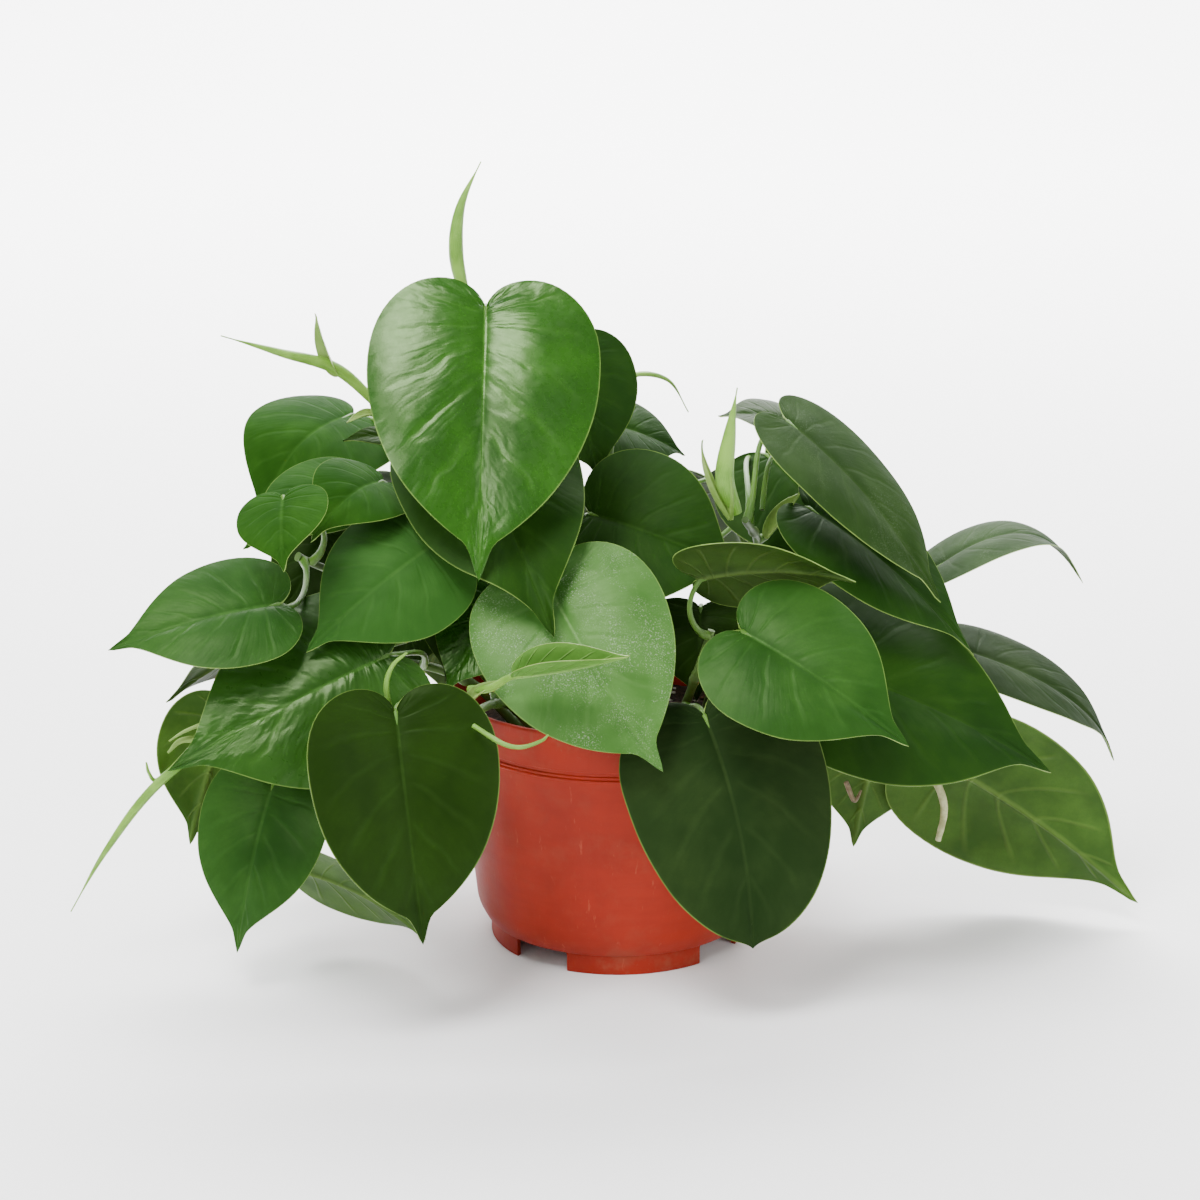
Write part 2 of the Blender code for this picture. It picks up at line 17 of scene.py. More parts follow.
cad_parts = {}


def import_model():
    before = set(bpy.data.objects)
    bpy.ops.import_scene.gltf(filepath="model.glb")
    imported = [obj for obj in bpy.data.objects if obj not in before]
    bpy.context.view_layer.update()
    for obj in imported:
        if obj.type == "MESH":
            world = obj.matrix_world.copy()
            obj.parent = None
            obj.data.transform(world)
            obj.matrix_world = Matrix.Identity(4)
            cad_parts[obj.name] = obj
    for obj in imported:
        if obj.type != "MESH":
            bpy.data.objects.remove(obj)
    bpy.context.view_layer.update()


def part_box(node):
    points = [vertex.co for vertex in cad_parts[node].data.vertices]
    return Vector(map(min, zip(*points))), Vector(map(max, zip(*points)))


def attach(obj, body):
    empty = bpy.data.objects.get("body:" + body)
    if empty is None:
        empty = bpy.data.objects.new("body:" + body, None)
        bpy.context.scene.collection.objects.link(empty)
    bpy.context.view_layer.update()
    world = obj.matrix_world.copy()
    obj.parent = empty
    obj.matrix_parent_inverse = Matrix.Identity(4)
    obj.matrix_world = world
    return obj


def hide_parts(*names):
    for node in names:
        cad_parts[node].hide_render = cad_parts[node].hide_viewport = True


LOG = logging.getLogger("philodendron")
MM = 0.001
ROOT = "root"

Colour = tuple[float, float, float]
Spot = tuple[float, float, float]
Socket = bpy.types.NodeSocket


# Materials


class Recipe:
    """A Principled material while its nodes are put together."""

    def __init__(self, name: str) -> None:
        """Starts a material.

        Args:
            name: The material's name.
        """
        self.material = bpy.data.materials.new(name)
        self.material.use_nodes = True
        self.tree = self.material.node_tree
        self.shader = self.tree.nodes["Principled BSDF"]

    def add(self, kind: str, **settings: object) -> bpy.types.Node:
        """Adds a node.

        Args:
            kind: The node's type.
            settings: Properties to set on it.

        Returns:
            The node.
        """
        node = self.tree.nodes.new(kind)
        for key, value in settings.items():
            setattr(node, key, value)
        return node

    def feed(self, socket: Socket, value: object) -> None:
        """Gives a socket its input.

        Args:
            socket: The socket to feed.
            value: A number, a colour, or the socket it comes from.
        """
        if isinstance(value, Socket):
            self.tree.links.new(value, socket)
        elif isinstance(value, tuple) and len(value) == 3 and socket.type == "RGBA":
            socket.default_value = (*value, 1.0)
        else:
            socket.default_value = value

    def math(self, operation: str, *values: object) -> Socket:
        """Does arithmetic.

        Args:
            operation: The Math node's operation.
            values: Its inputs.

        Returns:
            The result.
        """
        node = self.add("ShaderNodeMath", operation=operation)
        for socket, value in zip(node.inputs, values):
            self.feed(socket, value)
        return node.outputs[0]

    def ramp(self, value: object, low: float, high: float,
             start: float = 0.0, end: float = 1.0) -> Socket:
        """Maps a value smoothly from one range to another, and holds it at the ends.

        Args:
            value: What is mapped.
            low: Where the range begins.
            high: Where it ends.
            start: The result at low.
            end: The result at high.

        Returns:
            The mapped value.
        """
        node = self.add("ShaderNodeMapRange", interpolation_type="SMOOTHSTEP")
        for socket, number in zip(node.inputs, (value, low, high, start, end)):
            self.feed(socket, number)
        return node.outputs[0]

    def blend(self, share: object, first: object, second: object) -> Socket:
        """Mixes two colours.

        Args:
            share: How much of the second there is.
            first: A colour or its socket.
            second: The other one.

        Returns:
            The mixed colour.
        """
        node = self.add("ShaderNodeMix", data_type="RGBA")
        self.feed(node.inputs["Factor"], share)
        self.feed(node.inputs[6], first)
        self.feed(node.inputs[7], second)
        return node.outputs[2]

    def place(self) -> Socket:
        """Gives the place on the object, in metres."""
        return self.add("ShaderNodeTexCoord").outputs["Object"]

    def stretched(self, scale: Spot) -> Socket:
        """Scales the place on the object along its axes.

        Args:
            scale: The factor along each axis.

        Returns:
            The scaled place.
        """
        node = self.add("ShaderNodeMapping")
        self.feed(node.inputs["Vector"], self.place())
        node.inputs["Scale"].default_value = scale
        return node.outputs[0]

    def pair(self, first: object, second: object, third: object = 0.0) -> Socket:
        """Makes coordinates for a pattern.

        Args:
            first: The first coordinate.
            second: The second one.
            third: The third one.

        Returns:
            The three together.
        """
        node = self.add("ShaderNodeCombineXYZ")
        for socket, value in zip(node.inputs, (first, second, third)):
            self.feed(socket, value)
        return node.outputs[0]

    def map(self, name: str) -> tuple[Socket, Socket]:
        """Reads a UV map.

        Args:
            name: The map's name.

        Returns:
            Its two coordinates.
        """
        parts = self.add("ShaderNodeSeparateXYZ")
        self.feed(parts.inputs[0], self.add("ShaderNodeUVMap", uv_map=name).outputs[0])
        return parts.outputs[0], parts.outputs[1]

    def noise(self, scale: float, detail: float = 3.0, rough: float = 0.5,
              where: object = None) -> Socket:
        """Makes a soft random pattern.

        Args:
            scale: Its frequency, per metre on the object.
            detail: How many finer layers it has.
            rough: How strong they are.
            where: The coordinates, which are the place on the object if this is left out.

        Returns:
            The pattern, mostly between 0.3 and 0.7.
        """
        node = self.add("ShaderNodeTexNoise")
        self.feed(node.inputs["Vector"], where if where is not None else self.place())
        node.inputs["Scale"].default_value = scale
        node.inputs["Detail"].default_value = detail
        node.inputs["Roughness"].default_value = rough
        return node.outputs["Fac"]

    def relief(self, height: object, depth: float, strength: float = 1.0,
               under: object = None) -> Socket:
        """Turns a height pattern into a surface normal.

        Args:
            height: The pattern.
            depth: What a height of 1 stands for, in metres.
            strength: The share of it that is used.
            under: A normal that it is laid over.

        Returns:
            The normal.
        """
        node = self.add("ShaderNodeBump")
        node.inputs["Strength"].default_value = strength
        node.inputs["Distance"].default_value = depth
        self.feed(node.inputs["Height"], height)
        if under is not None:
            self.feed(node.inputs["Normal"], under)
        return node.outputs[0]

    def finish(self, colour: object, roughness: object, normal: object = None,
               **numbers: float) -> bpy.types.Material:
        """Connects the shader.

        Args:
            colour: The surface's colour.
            roughness: Its roughness.
            normal: Its normal, if it has relief.
            numbers: Uniform numbers for the shader's other sockets, with _ for a space.

        Returns:
            The material.
        """
        self.feed(self.shader.inputs["Base Color"], colour)
        self.feed(self.shader.inputs["Roughness"], roughness)
        if normal is not None:
            self.feed(self.shader.inputs["Normal"], normal)
        for key, number in numbers.items():
            self.shader.inputs[key.replace("_", " ")].default_value = number
        return self.material


VEINS = 8  # main side veins on each half of a leaf
FINE_VEINS = 6  # fine veins for each main one
MARGIN_GREEN = (0.15, 0.25, 0.05)
WAX_TINT = (0.72, 1.0, 0.5)  # the wax reflects the leaf's own green
DUST_GREY = (0.3, 0.36, 0.25)


def ribbing(mix: Recipe, line: Socket, count: int, width: float) -> Socket:
    """Draws veins that run out to the margin.

    Args:
        mix: The material.
        line: How far along the margin a point's vein ends.
        count: How many veins there are.
        width: Half a vein's width, as a share of the gap between two.

    Returns:
        A pattern, 1 on a vein and 0 between veins.
    """
    near = mix.math("PINGPONG", mix.math("MULTIPLY", line, count), 0.5)
    return mix.ramp(near, 0.0, width, 1.0, 0.0)


@dataclass(frozen=True)
class LeafSkin:
    """The waxy upper side of a leaf, with its veins.

    Shine is how strongly the wax reflects, dust is how thickly it lies, and crinkle is the depth in
    metres of the creases between the veins.
    """

    name: str
    deep: Colour
    light: Colour
    vein: Colour
    rough: float
    shine: float
    dust: float = 0.0
    crinkle: float = 0.0007

    @staticmethod
    def side_veins(mix: Recipe, line: Socket, across: Socket) -> Socket:
        """Draws the main side veins, which fade toward the midrib and the margin.

        Args:
            mix: The material.
            line: How far along the margin a point's vein ends.
            across: How far from the midrib to the margin the point is.

        Returns:
            The pattern.
        """
        main = ribbing(mix, line, VEINS, 0.14)
        main = mix.math("MULTIPLY", main, mix.ramp(across, 0.03, 0.16))
        return mix.math("MULTIPLY", main, mix.ramp(across, 0.72, 0.97, 1.0, 0.0))

    def colour(self, mix: Recipe, across: Socket, veins: tuple[Socket, Socket, Socket]) -> Socket:
        """Mixes the green of the blade.

        Args:
            mix: The material.
            across: How far from the midrib to the margin a point is.
            veins: The patterns of the side veins, the fine veins and the midrib.

        Returns:
            The colour.
        """
        main, fine, rib = veins
        colour = mix.blend(mix.ramp(mix.noise(26, 3, 0.6), 0.36, 0.64), self.deep, self.light)
        colour = mix.blend(mix.math("MULTIPLY", mix.ramp(across, 0.3, 1.0), 0.3), colour, self.light)
        colour = mix.blend(mix.ramp(mix.noise(950, 2), 0.3, 0.7, 0.0, 0.16), colour, self.deep)
        colour = mix.blend(mix.math("MULTIPLY", fine, 0.05), colour, self.deep)
        colour = mix.blend(mix.math("MULTIPLY", main, 0.14), colour, self.vein)
        colour = mix.blend(mix.math("MULTIPLY", rib, 0.4), colour, self.vein)
        return mix.blend(mix.ramp(across, 0.986, 0.998, 0.0, 0.6), colour, MARGIN_GREEN)

    def dusting(self, mix: Recipe) -> Socket:
        """Scatters the dust.

        Args:
            mix: The material.

        Returns:
            How much of each spot is dust.
        """
        specks = mix.ramp(mix.noise(1500, 4, 0.75), 0.52, 0.68)
        patches = mix.ramp(mix.noise(42, 4, 0.65), 0.42, 0.62)
        return mix.math("MULTIPLY", mix.math("MULTIPLY", specks, patches), self.dust)

    def surface(self, mix: Recipe, main: Socket, fine: Socket, creases: Socket) -> Socket:
        """Gives the blade its relief: cells, waves, creases and sunken veins.

        Args:
            mix: The material.
            main: The pattern of the side veins.
            fine: The pattern of the fine veins.
            creases: The pattern of the creases.

        Returns:
            The normal.
        """
        normal = mix.relief(mix.noise(1400, 2), 0.00004, 0.5)
        normal = mix.relief(mix.noise(60, 2), 0.0010, 0.35, normal)
        normal = mix.relief(creases, self.crinkle, 0.55, normal)
        height = mix.math("SUBTRACT", mix.math("MULTIPLY", fine, -0.12), main)
        return mix.relief(height, 0.00022, 0.6, normal)

    def material(self) -> bpy.types.Material:
        """Makes the material.

        Returns:
            The material, which reads the maps "veins" and "flat".
        """
        mix = Recipe(self.name)
        along, across = mix.map("veins")
        run, off = mix.map("flat")
        line = mix.math("ADD", along, mix.math("MULTIPLY_ADD", mix.noise(60, 2), 0.05, -0.025))
        main = self.side_veins(mix, line, across)
        fine = mix.math("MULTIPLY", ribbing(mix, line, VEINS * FINE_VEINS, 0.3),
                        mix.ramp(across, 0.1, 0.4))
        rib = mix.math("MULTIPLY", mix.ramp(off, 0.006, 0.026, 1.0, 0.0),
                       mix.ramp(run, 0.0, 1.0, 1.0, 0.35))
        fan = mix.pair(mix.math("MULTIPLY", line, 17.0), mix.math("MULTIPLY", across, 2.2),
                       mix.noise(8, 1))
        creases = mix.noise(1.0, 2, 0.45, fan)
        dust = self.dusting(mix)
        colour = self.colour(mix, across, (main, fine, rib))
        # Painted shade: the blade's green is darkened along the crease pattern, in streaks that follow
        # the veins.
        colour = mix.blend(mix.ramp(creases, 0.42, 0.62, 0.0, 0.3), colour, self.deep)
        colour = mix.blend(dust, colour, DUST_GREY)
        rough = mix.math("MULTIPLY_ADD", mix.noise(320, 3), 0.16, self.rough - 0.08)
        rough = mix.math("ADD", rough, mix.math("MULTIPLY", dust, 0.35))
        mix.feed(mix.shader.inputs["Specular Tint"], WAX_TINT)
        normal = self.surface(mix, main, fine, creases)
        return mix.finish(colour, rough, normal, Specular_IOR_Level=self.shine)


@dataclass(frozen=True)
class LeafBack:
    """The matt underside of a leaf, whose ribs stand out."""

    name: str
    deep: Colour
    light: Colour
    vein: Colour

    def material(self) -> bpy.types.Material:
        """Makes the material.

        Returns:
            The material, which reads the maps "veins" and "flat".
        """
        mix = Recipe(self.name)
        along, across = mix.map("veins")
        run, off = mix.map("flat")
        main = mix.math("MULTIPLY", ribbing(mix, along, VEINS, 0.1),
                        mix.ramp(across, 0.7, 0.96, 1.0, 0.0))
        rib = mix.math("MULTIPLY", mix.ramp(off, 0.01, 0.04, 1.0, 0.0),
                       mix.ramp(run, 0.0, 1.0, 1.0, 0.3))
        colour = mix.blend(mix.ramp(mix.noise(35, 4, 0.6), 0.35, 0.65), self.deep, self.light)
        colour = mix.blend(mix.ramp(mix.noise(1100, 3), 0.35, 0.7, 0.0, 0.25), colour, self.deep)
        colour = mix.blend(mix.math("MULTIPLY", main, 0.3), colour, self.vein)
        colour = mix.blend(mix.math("MULTIPLY", rib, 0.75), colour, self.vein)
        colour = mix.blend(mix.ramp(across, 0.975, 0.995, 0.0, 0.7), colour, MARGIN_GREEN)
        cells = mix.relief(mix.noise(1300, 3), 0.0001, 0.6)
        normal = mix.relief(mix.math("ADD", main, rib), 0.0004, 0.8, cells)
        rough = mix.math("MULTIPLY_ADD", mix.noise(260, 2), 0.15, 0.46)
        return mix.finish(colour, rough, normal, Specular_IOR_Level=0.15)


@dataclass(frozen=True)
class StemSkin:
    """A green stalk or stem, streaked along its length and freckled."""

    name: str
    deep: Colour
    light: Colour
    scar: Colour
    rough: float = 0.4

    def material(self) -> bpy.types.Material:
        """Makes the material.

        Returns:
            The material, which reads the map "run".
        """
        mix = Recipe(self.name)
        around, length = mix.map("run")
        lines = mix.pair(mix.math("MULTIPLY", around, 14.0), mix.math("MULTIPLY", length, 0.6))
        streaks = mix.noise(2.2, 3, 0.6, lines)
        colour = mix.blend(mix.ramp(mix.noise(70, 3), 0.35, 0.65), self.deep, self.light)
        colour = mix.blend(mix.ramp(streaks, 0.42, 0.62, 0.0, 0.45), colour, self.light)
        freckles = mix.ramp(mix.noise(1700, 2, 0.7), 0.62, 0.72, 0.0, 0.45)
        colour = mix.blend(freckles, colour, self.scar)
        normal = mix.relief(streaks, 0.0003, 0.6, mix.relief(mix.noise(1200, 2), 0.00008, 0.5))
        rough = mix.math("MULTIPLY_ADD", mix.noise(300, 2), 0.2, self.rough - 0.1)
        return mix.finish(colour, rough, normal, Specular_IOR_Level=0.3)


@dataclass(frozen=True)
class DrySkin:
    """A papery or corky surface, such as an old sheath or an aerial root."""

    name: str
    deep: Colour
    light: Colour
    stain: Colour

    def material(self) -> bpy.types.Material:
        """Makes the material.

        Returns:
            The material.
        """
        mix = Recipe(self.name)
        colour = mix.blend(mix.ramp(mix.noise(220, 4, 0.65), 0.35, 0.65), self.deep, self.light)
        colour = mix.blend(mix.ramp(mix.noise(90, 4, 0.7), 0.55, 0.68, 0.0, 0.8), colour, self.stain)
        fibres = mix.noise(1.0, 4, 0.6, mix.stretched((900.0, 900.0, 120.0)))
        normal = mix.relief(fibres, 0.0004, 0.7)
        return mix.finish(colour, mix.math("MULTIPLY_ADD", fibres, 0.2, 0.55), normal)


@dataclass(frozen=True)
class PotPlastic:
    """Moulded terracotta-coloured plastic, slightly mottled, scuffed and dusty."""

    top: float
    name: str = "terracotta_plastic_fine"
    deep: Colour = (0.22, 0.013, 0.004)
    light: Colour = (0.3, 0.018, 0.005)
    dust: Colour = (0.25, 0.085, 0.045)
    scuff: Colour = (0.46, 0.09, 0.045)

    def material(self) -> bpy.types.Material:
        """Makes the material.

        Returns:
            The material.
        """
        mix = Recipe(self.name)
        parts = mix.add("ShaderNodeSeparateXYZ")
        mix.feed(parts.inputs[0], mix.place())
        height = parts.outputs[2]
        colour = mix.blend(mix.ramp(mix.noise(18, 4, 0.6), 0.35, 0.65), self.deep, self.light)
        flow = mix.noise(1.0, 3, 0.6, mix.stretched((45.0, 45.0, 260.0)))
        colour = mix.blend(mix.ramp(flow, 0.4, 0.66, 0.0, 0.3), colour, self.deep)
        low = mix.ramp(height, 0.0, 0.02, 1.0, 0.25)
        high = mix.ramp(height, self.top - 0.02, self.top, 0.2, 0.9)
        specks = mix.ramp(mix.noise(480, 5, 0.75), 0.58, 0.7)
        cloud = mix.ramp(mix.noise(55, 4, 0.7), 0.48, 0.68)
        dust = mix.math("MULTIPLY", mix.math("MAXIMUM", specks, cloud), mix.math("MAXIMUM", low, high))
        colour = mix.blend(mix.math("MULTIPLY", dust, 0.45), colour, self.dust)
        scuffs = mix.noise(1.0, 4, 0.75, mix.stretched((300.0, 300.0, 40.0)))
        marks = mix.ramp(scuffs, 0.63, 0.7, 0.0, 0.35)
        colour = mix.blend(marks, colour, self.scuff)
        rough = mix.math("MULTIPLY_ADD", mix.noise(90, 4), 0.16, 0.4)
        rough = mix.math("ADD", rough, mix.math("MULTIPLY", dust, 0.25))
        peel = mix.relief(mix.noise(900, 2), 0.00007, 0.6)
        normal = mix.relief(mix.math("ADD", flow, scuffs), 0.00025, 0.25, peel)
        return mix.finish(colour, rough, normal, Specular_IOR_Level=0.16)


@dataclass(frozen=True)
class Earth:
    """Damp potting mix or one of its lumps."""

    name: str
    deep: Colour
    light: Colour
    rough: float = 0.9

    def material(self) -> bpy.types.Material:
        """Makes the material.

        Returns:
            The material.
        """
        mix = Recipe(self.name)
        colour = mix.blend(mix.ramp(mix.noise(260, 5, 0.7), 0.38, 0.62), self.deep, self.light)
        colour = mix.blend(mix.ramp(mix.noise(1500, 3, 0.7), 0.5, 0.7, 0.0, 0.6), colour, self.deep)
        normal = mix.relief(mix.noise(700, 5, 0.75), 0.0016, 0.9)
        return mix.finish(colour, self.rough, normal, Specular_IOR_Level=0.25)


@dataclass(frozen=True)
class StudioPaper:
    """The pale paper that the floor and backdrop are made of."""

    name: str = "studio_paper"
    shade: float = 0.86

    def material(self) -> bpy.types.Material:
        """Makes the material.

        Returns:
            The material.
        """
        mix = Recipe(self.name)
        low = self.shade - 0.015
        colour = mix.blend(mix.noise(3, 2), (low, low, low), (self.shade, self.shade, self.shade))
        return mix.finish(colour, 0.8, Specular_IOR_Level=0.1)


class Tone(Enum):
    """The greens of the leaves' upper sides, with darker copies that paint shade on leaves that lie in
    shade.
    """

    BRIGHT = LeafSkin("leaf_bright", (0.005, 0.036, 0.001), (0.013, 0.068, 0.002),
                      (0.05, 0.15, 0.016), rough=0.28, shine=0.4, crinkle=0.0014)
    FRESH = LeafSkin("leaf_fresh", (0.009, 0.04, 0.003), (0.02, 0.068, 0.007),
                     (0.055, 0.15, 0.022), rough=0.3, shine=0.26, crinkle=0.0024)
    MIDDLE = LeafSkin("leaf_middle", (0.01, 0.041, 0.005), (0.022, 0.068, 0.01),
                      (0.045, 0.12, 0.022), rough=0.38, shine=0.09)
    SOFT = LeafSkin("leaf_soft", (0.008, 0.036, 0.003), (0.018, 0.062, 0.006),
                    (0.036, 0.1, 0.015), rough=0.62, shine=0.02)
    MATT = LeafSkin("leaf_matt", (0.014, 0.056, 0.007), (0.027, 0.084, 0.014),
                    (0.042, 0.11, 0.02), rough=0.55, shine=0.08)
    # Painted shade: a darker copy of the green, for leaves that lie in shade.
    SHADED = LeafSkin("leaf_shaded", (0.005, 0.023, 0.002), (0.011, 0.038, 0.003),
                      (0.026, 0.07, 0.009), rough=0.5, shine=0.08)
    # Painted shade: the darkest copy of the green, for leaves that lie in deep shade or deep inside the
    # plant.
    SHADE_DEEP = LeafSkin("leaf_shade_deep", (0.005, 0.016, 0.001), (0.009, 0.026, 0.002),
                    (0.022, 0.054, 0.008), rough=0.45, shine=0.08)
    DULL = LeafSkin("leaf_dull", (0.007, 0.018, 0.004), (0.014, 0.029, 0.007),
                    (0.026, 0.049, 0.013), rough=0.58, shine=0.06)
    GREYED = LeafSkin("leaf_greyed", (0.009, 0.025, 0.004), (0.017, 0.04, 0.008),
                      (0.03, 0.057, 0.014), rough=0.6, shine=0.05, dust=0.1)
    DUSTY = LeafSkin("leaf_dusty", (0.024, 0.082, 0.01), (0.055, 0.138, 0.029),
                     (0.09, 0.19, 0.05), rough=0.4, shine=0.2, dust=0.7)


class Back(Enum):
    """The greens of the leaves' undersides."""

    YOUNG = LeafBack("back_young", (0.06, 0.16, 0.02), (0.11, 0.25, 0.04), (0.2, 0.34, 0.09))
    PALE = LeafBack("back_pale", (0.022, 0.06, 0.004), (0.042, 0.1, 0.009), (0.09, 0.16, 0.025))
    OLIVE = LeafBack("back_olive", (0.014, 0.036, 0.003), (0.026, 0.06, 0.006), (0.07, 0.12, 0.02))


class Bark(Enum):
    """The finishes of the stems, stalks, shoots, roots and margins."""

    VINE = StemSkin("vine_skin", (0.03, 0.075, 0.008), (0.065, 0.13, 0.02), (0.12, 0.085, 0.035))
    STALK = StemSkin("stalk_skin", (0.04, 0.11, 0.01), (0.085, 0.19, 0.022), (0.14, 0.2, 0.05),
                     rough=0.34)
    SHOOT = StemSkin("shoot_skin", (0.08, 0.2, 0.015), (0.17, 0.33, 0.045), (0.28, 0.36, 0.12),
                     rough=0.34)
    SHEATH = StemSkin("sheath_skin", (0.11, 0.21, 0.03), (0.22, 0.33, 0.08), (0.2, 0.2, 0.06),
                      rough=0.42)
    MARGIN = StemSkin("margin_skin", (0.11, 0.2, 0.03), (0.2, 0.3, 0.07), (0.2, 0.26, 0.07),
                      rough=0.45)
    ROOT = DrySkin("root_skin", (0.24, 0.25, 0.1), (0.42, 0.42, 0.22), (0.18, 0.14, 0.05))
    CORK = DrySkin("cork_skin", (0.14, 0.1, 0.05), (0.24, 0.18, 0.1), (0.07, 0.045, 0.02))


class Palette:
    """Makes each finish's material once."""

    def __init__(self) -> None:
        """Starts with none made."""
        self.made: dict[str, bpy.types.Material] = {}

    def get(self, finish: object) -> bpy.types.Material:
        """Gives a finish's material.

        Args:
            finish: A finish, or the named option that holds one.

        Returns:
            The material.
        """
        if isinstance(finish, Enum):
            finish = finish.value
        if finish.name not in self.made:
            self.made[finish.name] = finish.material()
        return self.made[finish.name]


# Meshes


@dataclass
class Shape:
    """A mesh while it is gathered: points, faces, each face's slot, and maps by point."""

    points: list[Vector] = field(default_factory=list)
    faces: list[tuple[int, ...]] = field(default_factory=list)
    slots: list[int] = field(default_factory=list)
    maps: dict[str, list[tuple[float, float]]] = field(default_factory=dict)

    def join(self, other: "Shape", slot: int | None = None) -> None:
        """Takes in another shape.

        Args:
            other: The shape to take in.
            slot: The slot for all its faces, if not its own.
        """
        start = len(self.points)
        for name in set(self.maps) | set(other.maps):
            mine = self.maps.setdefault(name, [(0.0, 0.0)] * start)
            mine.extend(other.maps.get(name, [(0.0, 0.0)] * len(other.points)))
        self.points.extend(other.points)
        self.faces.extend(tuple(i + start for i in face) for face in other.faces)
        self.slots.extend(other.slots if slot is None else [slot] * len(other.faces))

    def build(self, name: str, materials: list[bpy.types.Material],
              sharp: float = 50.0) -> bpy.types.Object:
        """Makes the object.

        Args:
            name: Its name.
            materials: The material of each slot.
            sharp: Degrees from which an edge is left sharp.

        Returns:
            The object, in the scene.
        """
        mesh = bpy.data.meshes.new(name)
        mesh.from_pydata([tuple(p) for p in self.points], [], self.faces)
        for key, spots in self.maps.items():
            layer = mesh.uv_layers.new(name=key)
            for loop in mesh.loops:
                layer.data[loop.index].uv = spots[loop.vertex_index]
        for material in materials:
            mesh.materials.append(material)
        mesh.polygons.foreach_set("material_index", self.slots)
        mesh.shade_smooth()
        mesh.set_sharp_from_angle(angle=math.radians(sharp))
        mesh.validate()
        thing = bpy.data.objects.new(name, mesh)
        bpy.context.scene.collection.objects.link(thing)
        return thing


def bezier(points: tuple, u: float) -> Vector:
    """Finds a point on a cubic Bezier curve.

    Args:
        points: The curve's four points.
        u: How far along it, from 0 to 1.

    Returns:
        The point.
    """
    a, b, c, d = (Vector(p) for p in points)
    return (1 - u) ** 3 * a + 3 * (1 - u) ** 2 * u * b + 3 * (1 - u) * u ** 2 * c + u ** 3 * d


def through(points: tuple, steps: int) -> list[Vector]:
    """Finds points on a smooth curve through the given ones.

    Args:
        points: Where the curve goes.
        steps: How many pieces it is cut into.

    Returns:
        One more point than there are pieces.
    """
    knots = [Vector(p) for p in points]
    knots = [2 * knots[0] - knots[1]] + knots + [2 * knots[-1] - knots[-2]]
    spans = len(knots) - 3
    found = []
    for k in range(steps + 1):
        u = k / steps * spans
        i = min(int(u), spans - 1)
        u -= i
        a, b, c, d = knots[i:i + 4]
        found.append(0.5 * (2 * b + (c - a) * u + (2 * a - 5 * b + 4 * c - d) * u ** 2
                            + (3 * b - a - 3 * c + d) * u ** 3))
    return found


def tube(path: list[Vector], radii: list[float], sides: int, seam: float = 0.0,
         turn: float = 0.0) -> Shape:
    """Sweeps a round section along a path, with a map "run" of turns and centimetres.

    Args:
        path: The points of the path.
        radii: The radius at each of them.
        sides: How many sides the section has.
        seam: How far one edge laps over the other, as a share of the radius.
        turn: Radians that the seam winds from end to end.

    Returns:
        The closed tube.
    """
    shape = Shape(maps={"run": []})
    side = (path[1] - path[0]).orthogonal().normalized()
    done = 0.0
    for k, point in enumerate(path):
        ahead = (path[min(k + 1, len(path) - 1)] - path[max(k - 1, 0)]).normalized()
        side = (side - ahead * side.dot(ahead)).normalized()
        up = ahead.cross(side)
        done += (point - path[k - 1]).length if k else 0.0
        wind = turn * k / (len(path) - 1)
        for i in range(sides):
            share = i / sides
            angle = 2 * math.pi * share + wind
            reach = radii[k] * (1 + seam * (share - 0.5))
            shape.points.append(point + reach * (math.cos(angle) * side + math.sin(angle) * up))
            shape.maps["run"].append((abs(2 * share - 1), done * 100))
    for k in range(len(path) - 1):
        for i in range(sides):
            j = (i + 1) % sides
            row = k * sides
            shape.faces.append((row + i, row + j, row + j + sides, row + i + sides))
    last = (len(path) - 1) * sides
    shape.faces.append(tuple(range(sides))[::-1])
    shape.faces.append(tuple(range(last, last + sides)))
    shape.slots = [0] * len(shape.faces)
    return shape


# The planting plan


LOBE_SHARE = 0.42  # where along the margin the lobe's arc ends
DRIP_START = 0.89  # where along the margin the narrow tip begins
OUTLINE_WIDTH = 0.84


class Outline(Enum):
    """Half outlines of a blade of length 1 and full width 0.84, each as three Bezier arcs."""

    HEART = (((0.0, 0.0), (-0.17, 0.05), (-0.15, 0.42), (0.22, 0.42)),
             ((0.22, 0.42), (0.6, 0.42), (0.73, 0.14), (0.862, 0.052)),
             ((0.862, 0.052), (0.89, 0.034), (0.95, 0.024), (1.0, 0.0)))
    BROAD = (((0.0, 0.0), (-0.17, 0.05), (-0.15, 0.42), (0.22, 0.42)),
             ((0.22, 0.42), (0.56, 0.42), (0.76, 0.22), (0.862, 0.065)),
             ((0.862, 0.065), (0.885, 0.032), (0.95, 0.026), (1.0, 0.0)))
    ROUND = (((0.0, 0.0), (-0.17, 0.05), (-0.15, 0.42), (0.22, 0.42)),
             ((0.22, 0.42), (0.62, 0.42), (0.89, 0.27), (0.96, 0.075)),
             ((0.96, 0.075), (0.975, 0.03), (0.985, 0.012), (1.0, 0.0)))
    LANCE = (((0.0, 0.10), (0.03, 0.24), (0.14, 0.42), (0.36, 0.42)),
             ((0.36, 0.42), (0.58, 0.42), (0.76, 0.2), (0.9, 0.07)),
             ((0.9, 0.07), (0.94, 0.035), (0.97, 0.012), (1.0, 0.0)))

    def point(self, t: float) -> Vector:
        """Finds a point of the outline.

        Args:
            t: How far along the margin, from the notch at 0 to the tip at 1.

        Returns:
            Its place along and across the blade.
        """
        arc, start, end = 0, 0.0, LOBE_SHARE
        if t > DRIP_START:
            arc, start, end = 2, DRIP_START, 1.0
        elif t > LOBE_SHARE:
            arc, start, end = 1, LOBE_SHARE, DRIP_START
        return bezier([(*p, 0) for p in self.value[arc]], (t - start) / (end - start))


@dataclass(frozen=True)
class Vine:
    """A stem: the points it passes through, from the soil to its growing end."""

    name: str
    points: tuple[Spot, ...]


